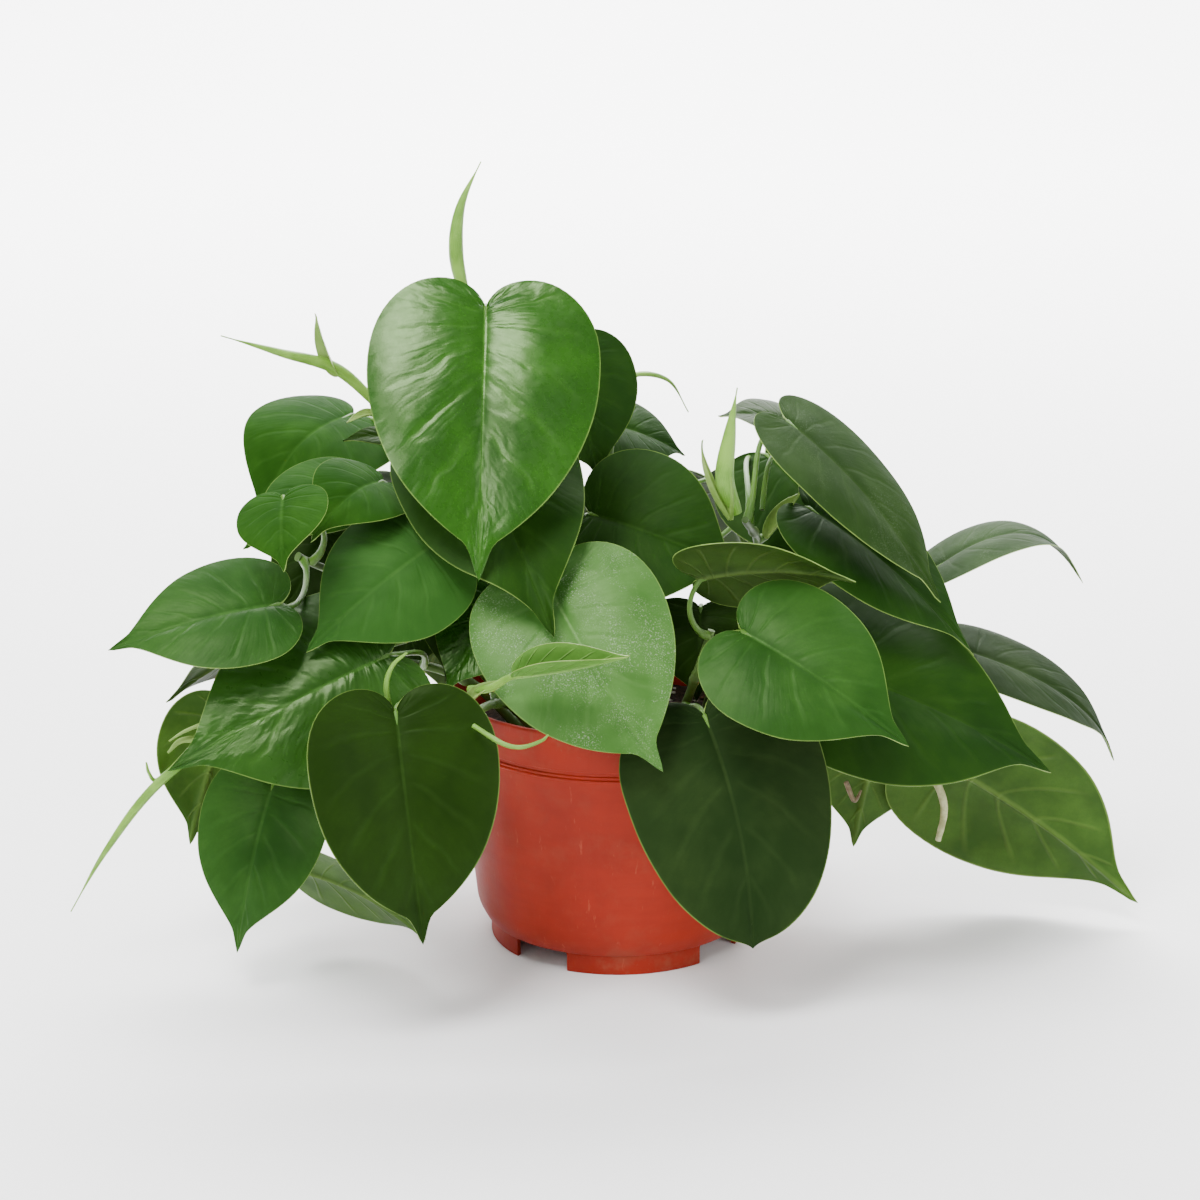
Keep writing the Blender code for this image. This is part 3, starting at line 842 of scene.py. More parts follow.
@dataclass(frozen=True)
class Leaf:
    """One leaf. Base is the notch where the stalk joins, and face is the way its upper side looks.

    The stalk leaves its vine the share "at" of the way along. Fold and cup are the degrees that
    each half rises at the midrib and bends from there to the margin. Bow, hook, sway and ripple
    are shares of the length, and quilt is the height in millimetres between two veins.
    """

    name: str
    vine: str
    at: float
    base: Spot
    tip: Spot
    face: Spot
    width: float
    tone: Tone | Back | Bark = Tone.MIDDLE
    back: Back = Back.OLIVE
    fold: tuple[float, float] = (10, 10)
    cup: tuple[float, float] = (-25, -25)
    bow: float = 0.06
    hook: float = 0.0
    sway: float = 0.0
    ripple: float = 0.0
    quilt: float = 0.12
    outline: Outline = Outline.HEART


@dataclass(frozen=True)
class Shoot:
    """A rolled new leaf in its sheath: the line it follows and its greatest radius."""

    name: str
    points: tuple[Spot, ...]
    radius: float
    swell: float = 0.35


VINES = (
    Vine("vine_crown", ((-20, 12, 101.5), (-38, 18, 160), (-52, 10, 225), (-65, -8, 288))),
    Vine("vine_left_high", ((-38, 22, 101.5), (-62, 28, 160), (-88, 22, 212), (-104, 6, 238))),
    Vine("vine_left", ((-45, 0, 102), (-72, -4, 136), (-104, -14, 162), (-138, -41, 187))),
    Vine("vine_left_low", ((-44, -18, 102), (-66, -26, 126), (-96, -31, 136), (-132, -34, 129),
                           (-166, -36, 112))),
    Vine("vine_front_left", ((-34, -34, 102), (-48, -46, 122), (-61, -70, 126), (-73, -97, 122))),
    Vine("vine_front", ((-8, -38, 101.5), (-24, -56, 126), (-42, -74, 138), (-60, -92, 143))),
    Vine("vine_right_front", ((24, -34, 101.5), (32, -46, 130), (40, -48, 156))),
    Vine("vine_right", ((38, -8, 101.5), (52, -6, 150), (61, -14, 184), (54, -44, 204))),
    Vine("vine_right_low", ((50, 8, 102), (80, 6, 132), (112, 6, 130), (134, 4, 106))),
    Vine("vine_back", ((0, 28, 101.5), (2, 44, 150), (-4, 46, 200), (0, 48, 240))),
    Vine("vine_back_left", ((-34, 40, 102), (-52, 62, 136), (-70, 80, 164))),
)

LEAVES = (
    Leaf("crown_leaf_1", "vine_crown", 0.86, (-56, -40, 295), (-58, -92, 190), (0.03, -0.9, 0.42),
         98, fold=(12, 12), cup=(-26, -26), bow=0.05, tone=Tone.BRIGHT, quilt=0.16,
         outline=Outline.BROAD),
    Leaf("crown_leaf_2", "vine_crown", 0.70, (-26, 14, 266), (-8, 2, 210), (0.35, -0.8, 0.45), 66,
         tone=Tone.SHADED),
    Leaf("crown_leaf_3", "vine_crown", 0.52, (-65, -33, 242), (-27, -93, 166), (0.05, -0.72, 0.55),
         80, ripple=0.02, tone=Tone.SHADED),
    Leaf("left_high_leaf_1", "vine_left_high", 0.82, (-121, 40, 232), (-160, 9, 185),
         (-0.35, -0.75, 0.55), 74, bow=0.26, fold=(5, 5), tone=Tone.SOFT),
    Leaf("left_high_leaf_2", "vine_left_high", 0.60, (-115, -9, 214), (-161, -44, 191),
         (-0.3, -0.75, 0.6), 46, bow=0.08, fold=(5, 5), tone=Tone.SOFT),
    Leaf("left_leaf_1", "vine_left", 0.95, (-139, -80, 223), (-136, -111, 199), (-0.25, -0.5, 0.8),
         40, tone=Tone.SOFT),
    Leaf("left_leaf_2", "vine_left_high", 0.72, (-101, -40, 220), (-129, -71, 201),
         (-0.3, -0.85, 0.35), 44, bow=0.2, tone=Tone.SOFT),
    Leaf("left_leaf_3", "vine_left", 0.60, (-77, -63, 199), (-130, -91, 159), (-0.35, -0.85, 0.4),
         64, fold=(5, -5), cup=(-20, -30), tone=Tone.MATT),
    Leaf("left_leaf_4", "vine_left", 0.98, (-142, -84, 178), (-211, -98, 162), (-0.15, -0.7, 0.7),
         54),
    Leaf("left_leaf_5", "vine_left", 0.45, (-142, -18, 146), (-200, -25, 116), (-0.4, 0.5, 0.75),
         48, tone=Tone.SHADE_DEEP),
    Leaf("left_low_leaf_1", "vine_left_low", 0.42, (-97, -82, 155), (-187, -109, 113),
         (-0.2, -0.9, 0.35), 88, fold=(0, 5), cup=(-35, -35), tone=Tone.FRESH, quilt=0.3),
    Leaf("left_low_leaf_2", "vine_left_low", 0.75, (-149, -62, 92), (-165, -80, 20),
         (-0.3, -0.9, 0.2), 60),
    Leaf("left_low_leaf_3", "vine_left_low", 0.90, (-172, -24, 112), (-190, -38, 54),
         (-0.3, 0.9, 0.2), 56, back=Back.PALE),
    Leaf("front_left_leaf_1", "vine_front_left", 0.95, (-92, -110, 139), (-81, -131, 45),
         (0.06, -0.96, 0.25), 82, tone=Tone.SHADE_DEEP, outline=Outline.BROAD, fold=(30, 4),
         cup=(-15, -25)),
    Leaf("front_left_leaf_2", "vine_left_low", 0.60, (-142, -38, 42), (-84, -70, 22),
         (-0.4, 0.6, 0.45), 56, back=Back.PALE),
    Leaf("front_left_leaf_3", "vine_front_left", 0.45, (-64, -30, 168), (-75, -42, 131),
         (-0.2, -0.8, 0.5), 42, tone=Tone.SHADE_DEEP),
    Leaf("front_leaf_1", "vine_front", 0.55, (-30, -68, 183), (18, -112, 114), (0.0, -0.85, 0.5),
         84, tone=Tone.DUSTY, outline=Outline.BROAD, sway=-0.03),
    Leaf("front_leaf_2", "vine_front", 0.35, (-50, -52, 174), (-74, -70, 134), (-0.1, -0.85, 0.4),
         44, tone=Tone.BRIGHT),
    Leaf("right_front_leaf_1", "vine_right_front", 0.35, (36, -84, 129), (56, -116, 37),
         (0.08, -0.95, 0.3), 88, fold=(12, 5), sway=0.04, tone=Tone.DULL, outline=Outline.ROUND),
    Leaf("right_front_leaf_2", "vine_right_front", 0.75, (51, -94, 169), (118, -121, 128),
         (0.2, -0.8, 0.55), 72),
    Leaf("right_front_leaf_3", "vine_right_front", 0.95, (35, -58, 182), (98, -86, 188),
         (0.05, 0.65, 0.75), 64),
    Leaf("right_leaf_1", "vine_right", 0.98, (73, -25, 243), (138, -50, 169), (0.75, -0.5, 0.45),
         62, fold=(5, 5), cup=(-15, -15), tone=Tone.GREYED, outline=Outline.BROAD),
    Leaf("right_leaf_2", "vine_right", 0.90, (67, 24, 217), (112, -2, 168), (0.2, -0.8, 0.55), 76,
         tone=Tone.SHADED),
    Leaf("right_leaf_3", "vine_right", 0.72, (83, -22, 204), (155, -36, 141), (0.55, -0.55, 0.6),
         62, tone=Tone.SHADED),
    Leaf("right_leaf_4", "vine_back", 0.30, (80, 58, 226), (46, 52, 229), (-0.2, -0.3, 0.9), 34,
         tone=Tone.SHADE_DEEP),
    Leaf("right_leaf_5", "vine_right", 0.60, (-12, -21, 201), (55, -35, 178), (0.0, -0.8, 0.6), 76,
         tone=Tone.SHADED),
    Leaf("right_leaf_6", "vine_right", 0.25, (36, -28, 160), (34, -42, 122), (0.05, -0.9, 0.4), 52,
         tone=Tone.SHADE_DEEP),
    Leaf("right_low_leaf_1", "vine_right_low", 0.50, (78, -50, 144), (190, -42, 89),
         (0.3, -0.65, 0.7), 97, tone=Tone.SHADED),
    Leaf("right_low_leaf_2", "vine_right_low", 0.60, (142, 15, 166), (212, 25, 157),
         (0.0, -0.05, 1.0), 48, bow=0.2, hook=0.2, tone=Tone.GREYED),
    Leaf("right_low_leaf_3", "vine_right_low", 0.75, (155, 8, 131), (229, 18, 74), (0.3, -0.3, 0.9),
         50, hook=0.15, tone=Tone.DULL),
    Leaf("right_low_leaf_4", "vine_right_low", 0.95, (146, 8, 78), (240, 0, 11), (0.35, 0.85, 0.2),
         88, back=Back.PALE),
    Leaf("right_low_leaf_5", "vine_right_low", 0.80, (122, 16, 92), (110, 20, 31), (-0.1, 0.9, 0.3),
         60, back=Back.PALE),
    Leaf("back_leaf_1", "vine_back", 0.90, (-4, 68, 222), (32, 80, 204), (0.2, -0.5, 0.8), 40,
         tone=Tone.SHADED),
    Leaf("back_leaf_2", "vine_back", 0.97, (-52, 58, 256), (-60, 106, 186), (-0.05, 0.8, 0.6), 84,
         tone=Tone.BRIGHT),
    Leaf("back_leaf_3", "vine_back", 0.67, (43, 85, 192), (69, 118, 131), (0.35, 0.8, 0.5), 76),
    Leaf("back_leaf_4", "vine_back", 0.60, (-12, 84, 180), (-16, 122, 104), (0, 0.9, 0.4), 76,
         tone=Tone.FRESH),
    Leaf("back_leaf_5", "vine_back", 0.45, (92, 48, 162), (140, 92, 108), (0.6, 0.6, 0.5), 74,
         tone=Tone.SHADE_DEEP),
    Leaf("back_leaf_6", "vine_back", 0.25, (52, 88, 116), (66, 118, 38), (0.3, 0.95, 0.1), 70),
    Leaf("back_left_leaf_1", "vine_back_left", 0.95, (-102, 80, 190), (-142, 112, 122),
         (-0.5, 0.75, 0.4), 76),
    Leaf("back_left_leaf_2", "vine_back_left", 0.60, (-76, 98, 146), (-80, 126, 60),
         (-0.1, 0.95, 0.3), 76, tone=Tone.BRIGHT),
    Leaf("back_left_leaf_3", "vine_back_left", 0.75, (-104, 42, 178), (-160, 66, 128),
         (-0.6, 0.45, 0.65), 72, tone=Tone.SHADE_DEEP),
)

SHOOTS = (
    Shoot("crown_shoot", ((-65.5, -10, 291), (-70, -6, 312), (-68, -3, 332), (-59, 0, 351)), 3.2),
    Shoot("left_high_shoot", ((-103, 0, 242), (-122, -8, 262), (-146, -20, 272), (-169, -30, 281)),
          2.6),
    Shoot("left_low_shoot", ((-169, -36, 110), (-203, -45, 84), (-225, -50, 56), (-241, -55, 29)),
          2.1),
    Shoot("right_shoot", ((49.5, -61, 211), (44, -62, 226), (46, -62, 246), (49, -62, 265)), 4.0),
    Shoot("front_shoot", ((-62, -95, 144), (-40, -113, 157), (-18, -120, 166), (3, -122, 167)), 5.0,
          swell=0.6),
    Shoot("back_shoot", ((1, 50, 243), (10, 54, 248), (24, 62, 243), (33, 70, 227)), 1.2),
)


# The leaves

RIB_CROWDING = 2.6  # how closely the veins leave the midrib near the notch
VEIN_SWEEP = 1.35  # how far a vein bends toward the tip
GROOVE_DEPTH = 0.7  # millimetres
GROOVE_WIDTH = 0.0018
MARGIN_NICKS = 0.012  # how unevenly the margin runs, as a share of the width
FLAT_SCALE = 20  # the map "flat" gives the distance off the midrib in units of 50 mm


class Blade:
    """The curved surface of one leaf."""

    def __init__(self, leaf: Leaf) -> None:
        """Sets up the leaf's axes.

        Args:
            leaf: The leaf of the plan.
        """
        self.leaf = leaf
        self.base = Vector(leaf.base) * MM
        run = Vector(leaf.tip) * MM - self.base
        self.length = run.length
        self.along = run.normalized()
        face = Vector(leaf.face)
        self.face = (face - self.along * face.dot(self.along)).normalized()
        self.side = self.face.cross(self.along)
        self.seed = Vector(leaf.base) * 0.37

    def spine(self, x: float) -> Vector:
        """Finds a point of the midrib.

        Args:
            x: How many lengths it is from the notch.

        Returns:
            The point.
        """
        leaf = self.leaf
        if x < 0:
            rise = (4 * leaf.bow + leaf.hook) * x
            aside = 4 * leaf.sway * x
        else:
            rise = 4 * leaf.bow * x * (1 - x) + leaf.hook * (x - x ** 4)
            aside = 4 * leaf.sway * x * (1 - x)
        return self.base + self.length * (x * self.along + rise * self.face + aside * self.side)

    def relief(self, t: float, v: float, out: float) -> float:
        """Finds how far the surface stands off its smooth form.

        Args:
            t: How far along the margin the point's vein ends.
            v: How far across the half it is.
            out: Its distance from the midrib.

        Returns:
            The height, in metres.
        """
        reach = abs(v)
        groove = -GROOVE_DEPTH * math.exp(-(out / GROOVE_WIDTH) ** 2) * (1 - 0.6 * t)
        swell = math.sin(math.pi * VEINS * t) ** 2 - 0.5
        held = math.sin(math.pi * min(reach ** 0.8, 1.0)) ** 0.8
        spot = Vector((4 * t, 3 * v, 0)) + self.seed
        loose = 1.5 * noise.noise(spot * 0.8) * reach + 0.2 * noise.noise(spot * 2.6) * reach
        return (groove + self.leaf.quilt * swell * held + loose * self.length * 10) * MM

    def point(self, t: float, v: float) -> tuple[Vector, float, float]:
        """Finds a point of the blade.

        Args:
            t: How far along the margin its vein ends, from 0 to 1.
            v: How far across the blade it is, from -1 to 1.

        Returns:
            The point, its place along the midrib in lengths, and its distance off it.
        """
        leaf = self.leaf
        edge = leaf.outline.point(t)
        rib = t ** RIB_CROWDING
        x = rib + (edge.x - rib) * abs(v) ** VEIN_SWEEP
        spot = Vector((t * 9, math.copysign(3, v), 0)) + self.seed
        nick = 1 + MARGIN_NICKS * noise.noise(spot) * abs(v)
        out = edge.y * v * leaf.width * MM / OUTLINE_WIDTH * nick
        ahead = (self.spine(x + 0.01) - self.spine(x - 0.01)).normalized()
        side = (self.side - ahead * self.side.dot(ahead)).normalized()
        up = ahead.cross(side)
        half = 1 if v > 0 else 0
        start = math.radians(leaf.fold[half])
        bend = (math.radians(leaf.cup[half]) or 1e-4) / (leaf.width * MM / 2)
        reach = abs(out)
        across = (math.sin(start + bend * reach) - math.sin(start)) / bend
        lift = (math.cos(start) - math.cos(start + bend * reach)) / bend
        wave = leaf.ripple * self.length * v * v * math.sin(6 * math.pi * t + 2 * half)
        height = lift + wave + self.relief(t, v, out)
        return self.spine(x) + side * math.copysign(across, out) + up * height, x, reach


@dataclass
class Foliage:
    """The leaves, each with its stalk."""

    rows: int = 46
    columns: tuple[float, ...] = (0.025, 0.06, 0.12, 0.2, 0.3, 0.42, 0.55, 0.68, 0.8, 0.89, 0.96, 1.0)
    thickness: float = 0.00050
    rib: float = 0.00065
    rib_width: float = 0.0011
    vine_steps: int = 200
    stalk_radius: float = 0.00125
    stalk_sides: int = 10
    stalk_steps: int = 18
    stalk_clear: float = 0.0029
    stalk_sunk: float = 0.0008
    stalk_curl: float = 0.03
    stalk_under: float = 0.0006
    stalk_end: float = 0.0003

    def blade(self, leaf: Leaf) -> Shape:
        """Builds the blade, upper side, underside and rim.

        Args:
            leaf: The leaf of the plan.

        Returns:
            The closed sheet, with slots 0, 1 and 2 and the maps "veins" and "flat".
        """
        form = Blade(leaf)
        spread = [-v for v in self.columns[::-1]] + [0.0] + list(self.columns)
        wide = len(spread)
        grid = [[form.point(i / self.rows, v) for v in spread] for i in range(1, self.rows)]
        spots = [p for row in grid for p, _, _ in row]
        upper, lower = [], []
        veins, flat = [], []
        for i, row in enumerate(grid):
            for j, (spot, x, off) in enumerate(row):
                above = spots[min(i + 1, len(grid) - 1) * wide + j]
                below = spots[max(i - 1, 0) * wide + j]
                left = spots[i * wide + max(j - 1, 0)]
                right = spots[i * wide + min(j + 1, wide - 1)]
                normal = (above - below).cross(right - left)
                normal = normal.normalized() if normal.length > 1e-12 else form.face
                thick = self.thickness * (1 - 0.35 * abs(spread[j]) ** 4) / 2
                ridge = self.rib * math.exp(-(off / self.rib_width) ** 2) * (1 - 0.7 * max(x, 0))
                upper.append(spot + normal * thick)
                lower.append(spot - normal * (thick + ridge))
                veins.append(((i + 1) / self.rows, abs(spread[j])))
                flat.append((x, off * FLAT_SCALE))
        ends = [(form.spine(0), (0.0, 0.0), (0.0, 0.0)), (form.spine(1), (1.0, 0.0), (1.0, 0.0))]
        shape = Shape()
        for layer, sign in ((upper, 0.5), (lower, -0.5)):
            shape.points += layer
            shape.points += [p + form.face * self.thickness * sign for p, _, _ in ends]
        shape.maps["veins"] = (veins + [e[1] for e in ends]) * 2
        shape.maps["flat"] = (flat + [e[2] for e in ends]) * 2
        count = len(upper)
        self.skin(shape, 0, wide, len(grid), 0)
        self.skin(shape, count + 2, wide, len(grid), 1)
        self.rim(shape, count, wide, len(grid))
        return shape

    @staticmethod
    def skin(shape: Shape, start: int, wide: int, rows: int, slot: int) -> None:
        """Adds the faces of one side of a blade.

        Args:
            shape: The shape that holds the points.
            start: The side's first point.
            wide: How many points a row has.
            rows: How many rows there are.
            slot: 0 for the upper side, and 1 for the underside.
        """
        notch = start + wide * rows
        faces = []
        for j in range(wide - 1):
            faces.append((notch, start + j, start + j + 1))
            last = start + (rows - 1) * wide + j
            faces.append((notch + 1, last + 1, last))
            for i in range(rows - 1):
                low = start + i * wide + j
                faces.append((low, low + wide, low + wide + 1, low + 1))
        shape.faces += [face[::-1] for face in faces] if slot else faces
        shape.slots += [slot] * len(faces)

    @staticmethod
    def rim(shape: Shape, count: int, wide: int, rows: int) -> None:
        """Adds the faces along the margin of a blade.

        Args:
            shape: The shape that holds the points.
            count: How many points the grid of one side has.
            wide: How many points a row has.
            rows: How many rows there are.
        """
        left = [i * wide for i in range(rows)]
        right = [i * wide + wide - 1 for i in range(rows)]
        loop = [count] + left + [count + 1] + right[::-1]
        other = count + 2
        for first, second in zip(loop, loop[1:] + loop[:1]):
            shape.faces.append((first, first + other, second + other, second))
            shape.slots.append(2)

    def stalk(self, leaf: Leaf, vine: Vine) -> Shape:
        """Builds the stalk, from inside its vine to under the midrib.

        Args:
            leaf: The leaf of the plan.
            vine: The vine it grows on.

        Returns:
            The closed tube.
        """
        form = Blade(leaf)
        line = through(vine.points, self.vine_steps)
        spot = min(max(int(leaf.at * self.vine_steps), 1), self.vine_steps - 1)
        node = line[spot] * MM
        climb = (line[spot + 1] - line[spot - 1]).normalized()
        end = form.base
        out = end - node
        out = (out - climb * out.dot(climb)).normalized()
        start = node + out * self.stalk_clear
        span = (end - start).length
        reach = min(0.45 * span, self.stalk_curl)
        leave = start + out * 0.3 * span + Vector((0, 0, 0.15 * span))
        arrive = end - form.face * reach * 0.9 - form.along * reach * 0.5
        curve = (start, leave, arrive, end)
        path = [bezier(curve, k / self.stalk_steps) for k in range(self.stalk_steps + 1)]
        path[0] = node + out * self.stalk_sunk
        path[-1] = end - form.face * self.stalk_under
        path.append(form.spine(0.07) - form.face * self.stalk_sunk)
        radii = []
        for k in range(len(path)):
            u = k / (len(path) - 1)
            base = 0.55 * math.exp(-(u / 0.09) ** 2)
            neck = 0.12 * math.exp(-((u - 0.93) / 0.06) ** 2)
            radii.append(self.stalk_radius * (1.1 - 0.28 * u + base + neck))
        radii[-1] = self.stalk_end
        return tube(path, radii, self.stalk_sides)

    def build(self, palette: Palette) -> None:
        """Builds every leaf of the plan in place of its plain one.

        Args:
            palette: The materials.
        """
        vines = {vine.name: vine for vine in VINES}
        for leaf in LEAVES:
            shape = self.blade(leaf)
            shape.join(self.stalk(leaf, vines[leaf.vine]), 3)
            skins = [palette.get(finish) for finish in (leaf.tone, leaf.back, Bark.MARGIN, Bark.STALK)]
            stand(shape.build(leaf.name + "_fine", skins), leaf.name)


def stand(piece: bpy.types.Object, node: str) -> None:
    """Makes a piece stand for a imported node.

    Args:
        piece: The detailed piece.
        node: The node that it replaces.
    """
    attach(piece, ROOT)
    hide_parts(node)
    LOG.info("%s: %d faces", piece.name, len(piece.data.polygons))


def add(piece: bpy.types.Object) -> None:
    """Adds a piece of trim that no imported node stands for.

    Args:
        piece: The piece.
    """
    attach(piece, ROOT)
    LOG.info("%s: %d faces", piece.name, len(piece.data.polygons))


# The stems, the new growth and the trim


@dataclass
class Stems:
    """The vines, with their joints and the ring-shaped scar above each."""

    radius: float = 0.0023
    tip_radius: float = 0.0016
    sides: int = 14
    steps: int = 30
    joint_gap: float = 0.034
    joint: float = 0.0007
    joint_width: float = 0.0022
    scar: float = 0.00035
    scar_above: float = 0.003
    scar_width: float = 0.0006

    def vine(self, vine: Vine) -> Shape:
        """Builds a vine.

        Args:
            vine: The vine of the plan.

        Returns:
            The closed tube.
        """
        steps = self.steps * (len(vine.points) - 1)
        path = [p * MM for p in through(vine.points, steps)]
        radii = []
        done = 0.0
        for k, point in enumerate(path):
            done += (point - path[k - 1]).length if k else 0.0
            off = ((done / self.joint_gap + 0.45) % 1.0 - 0.5) * self.joint_gap
            collar = self.joint * math.exp(-(off / self.joint_width) ** 2)
            ring = self.scar * math.exp(-((off - self.scar_above) / self.scar_width) ** 2)
            taper = self.radius + (self.tip_radius - self.radius) * k / steps
            radii.append(taper * (1 + 0.05 * noise.noise(point * 90)) + collar + ring)
        return tube(path, radii, self.sides)

    def build(self, palette: Palette) -> None:
        """Builds every vine in place of its plain one.

        Args:
            palette: The materials.
        """
        for vine in VINES:
            piece = self.vine(vine).build(vine.name + "_fine", [palette.get(Bark.VINE)])
            stand(piece, vine.name)


@dataclass
class NewGrowth:
    """The rolled new leaves, and those that have begun to open."""

    foliage: Foliage
    sides: int = 22
    steps: int = 40
    seam: float = 0.26
    wind: float = 2.2
    finest: float = 0.0003
    stalk_radius: float = 0.0019
    stalk_taper: float = 0.0014
    sharp: float = 30.0

    def roll(self, shoot: Shoot) -> Shape:
        """Builds a rolled leaf, whose free edge winds round it.

        Args:
            shoot: The shoot of the plan.

        Returns:
            The closed roll.
        """
        path = [p * MM for p in through(shoot.points, self.steps)]
        radii = []
        for k in range(self.steps + 1):
            u = k / self.steps
            if u < shoot.swell:
                share = 0.55 + 0.45 * math.sin(math.pi / 2 * u / shoot.swell)
            else:
                share = math.cos(math.pi / 2 * (u - shoot.swell) / (1 - shoot.swell)) ** 1.3
            radii.append(max(shoot.radius * MM * share, self.finest))
        return tube(path, radii, self.sides, self.seam, self.wind)

    def half_open(self, shoot: Shoot, leaf: Leaf) -> Shape:
        """Builds a shoot that has begun to open, blade and stalk.

        Args:
            shoot: The shoot of the plan.
            leaf: Its half-open blade.

        Returns:
            Both, with slots 0 to 2 for the blade and 3 for the stalk.
        """
        shape = self.foliage.blade(leaf)
        end = Vector(leaf.base)
        start = Vector(shoot.points[0])
        spots = (start, start.lerp(end, 0.5) + Vector((0, 0, -2)), end, end.lerp(Vector(leaf.tip), 0.3))
        path = [p * MM for p in through(spots, self.steps)]
        radii = [self.stalk_radius - self.stalk_taper * (k / self.steps) ** 2
                 for k in range(self.steps + 1)]
        shape.join(tube(path, radii, self.sides), 3)
        return shape

    def build(self, palette: Palette) -> None:
        """Builds every shoot in place of its plain one.

        Args:
            palette: The materials.
        """
        opening = {leaf.name: leaf for leaf in OPENING}
        for shoot in SHOOTS:
            leaf = opening.get(shoot.name)
            if leaf:
                shape = self.half_open(shoot, leaf)
                finishes = (leaf.tone, leaf.tone, Bark.MARGIN, Bark.SHOOT)
            else:
                shape = self.roll(shoot)
                finishes = (Bark.SHOOT,)
            skins = [palette.get(finish) for finish in finishes]
            stand(shape.build(shoot.name + "_fine", skins, self.sharp), shoot.name)


@dataclass(frozen=True)
class Strand:
    """A root, tendril or bare stalk: the line it follows, its radius and its finish."""

    name: str
    points: tuple[Spot, ...]
    radius: float
    bark: Bark
    blunt: float = 0.35  # radius of the tip, as a share


def sheath(name: str, base: Spot, tip: Spot, face: Spot, width: float,
           tone: Tone | Back | Bark = Bark.SHEATH, **form: object) -> Leaf:
    """Describes a sheath, or a leaf that is still as narrow as one.

    Args:
        name: Its name.
        base: Where it starts.
        tip: Where it ends.
        face: The way its upper side looks.
        width: How wide it would be if it lay flat.
        tone: Its finish.
        form: What else shapes a leaf.

    Returns:
        A leaf of the plan that grows on no vine.
    """
    return Leaf(name, "", 0, base, tip, face, width, tone=tone, outline=Outline.LANCE, **form)


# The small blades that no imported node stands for
SMALL_BLADES = (
    sheath("left_high_sheath", (-122, -8, 259), (-131, -9, 287), (-0.6, -0.75, 0.2), 8,
           fold=(30, 30), cup=(20, 20)),
    sheath("left_joint_sheath", (-106, 0, 241), (-119, -5, 238), (-0.1, -0.7, 0.7), 5,
           fold=(30, 30), cup=(30, 30), bow=0.15),
    sheath("left_joint_leaf", (-95, -12, 232), (-119, -23, 234), (0.1, -0.6, 0.8), 11,
           fold=(15, 15), tone=Tone.SHADE_DEEP, bow=0.1),
    sheath("right_inner_sheath", (47, -62, 209), (35, -62, 243), (0.85, -0.5, 0.2), 6,
           fold=(40, 40), cup=(50, 50), bow=-0.12),
    sheath("right_outer_sheath", (47, -61, 209), (46, -64, 230), (-0.3, 0.9, 0.2), 5, fold=(35, 35),
           cup=(40, 40), bow=-0.1),
    sheath("right_joint_sheath", (64, -20, 190), (78, -28, 212), (-0.5, -0.7, 0.5), 10,
           fold=(20, 20), cup=(50, 50), bow=-0.15, sway=0.1),
    # Painted shade: two dark leaves set deep inside the plant, to darken the gaps between the leaves
    # there.
    Leaf("inner_left_shade_leaf", "", 0, (-130, 10, 186), (-150, 0, 145), (-0.2, -0.9, 0.3), 40,
         tone=Tone.SHADE_DEEP),
    Leaf("inner_front_shade_leaf", "", 0, (-90, 16, 154), (-100, 10, 116), (-0.1, -0.9, 0.3), 38,
         tone=Tone.SHADE_DEEP),
    sheath("front_joint_sheath", (-64, -97, 138), (-49, -103, 151), (-0.5, -0.6, 0.6), 7,
           fold=(25, 25), cup=(40, 40)),
)

STRANDS = (
    Strand("inner_left_stalk", ((-103, -14, 161), (-117, 4, 176), (-130, 11, 185)), 1.1,
           Bark.STALK),
    Strand("inner_front_stalk", ((-72, -4, 136), (-82, 10, 147), (-90, 17, 153)), 1.1, Bark.STALK),
    Strand("right_second_stalk", ((62, -30, 205), (65, -20, 222), (73, -5, 232)), 1.25, Bark.STALK),
    Strand("front_curled_shoot", ((-95, -100, 136), (-96, -104, 149), (-93, -106, 158),
                                  (-87, -108, 164)), 1.3, Bark.SHOOT),
    Strand("front_thin_shoot", ((-60, -112, 134), (-48, -120, 129), (-40, -122, 128),
                                (-32, -123, 131), (-29, -124, 134)), 1.1, Bark.SHOOT),
    Strand("right_root_arch", ((120, -25, 96), (124, -30, 88), (130, -34, 84), (138, -34, 87),
                               (139, -30, 89)), 1.7, Bark.ROOT),
    Strand("right_hanging_root", ((139, -31, 86), (144, -32, 74), (145, -31, 65), (143, -30, 53)),
           1.9, Bark.ROOT, 0.7),
    Strand("right_brown_stub", ((104, 0, 70), (108, 0, 61), (111, 0, 66)), 1.2, Bark.CORK),
    Strand("left_thin_shoot", ((-178, -38, 112), (-189, -44, 109), (-196, -46, 105)), 0.9,
           Bark.SHEATH),
    Strand("left_bud", ((-180, -38, 103), (-191, -42, 104), (-197, -44, 99)), 1.6, Bark.SHEATH),
    Strand("left_curled_tendril", ((-194, -36, 92), (-203, -40, 85), (-206, -42, 89),
                                   (-207, -42, 94)), 1.1, Bark.SHOOT),
)

# The half-open blade at the end of each shoot that has begun to open
OPENING = (
    sheath("front_shoot", (-44, -112, 155), (4, -122, 167), (-0.1, -0.45, 0.9), 25,
           tone=Back.YOUNG, fold=(52, 62), cup=(20, 10), bow=-0.03),
)


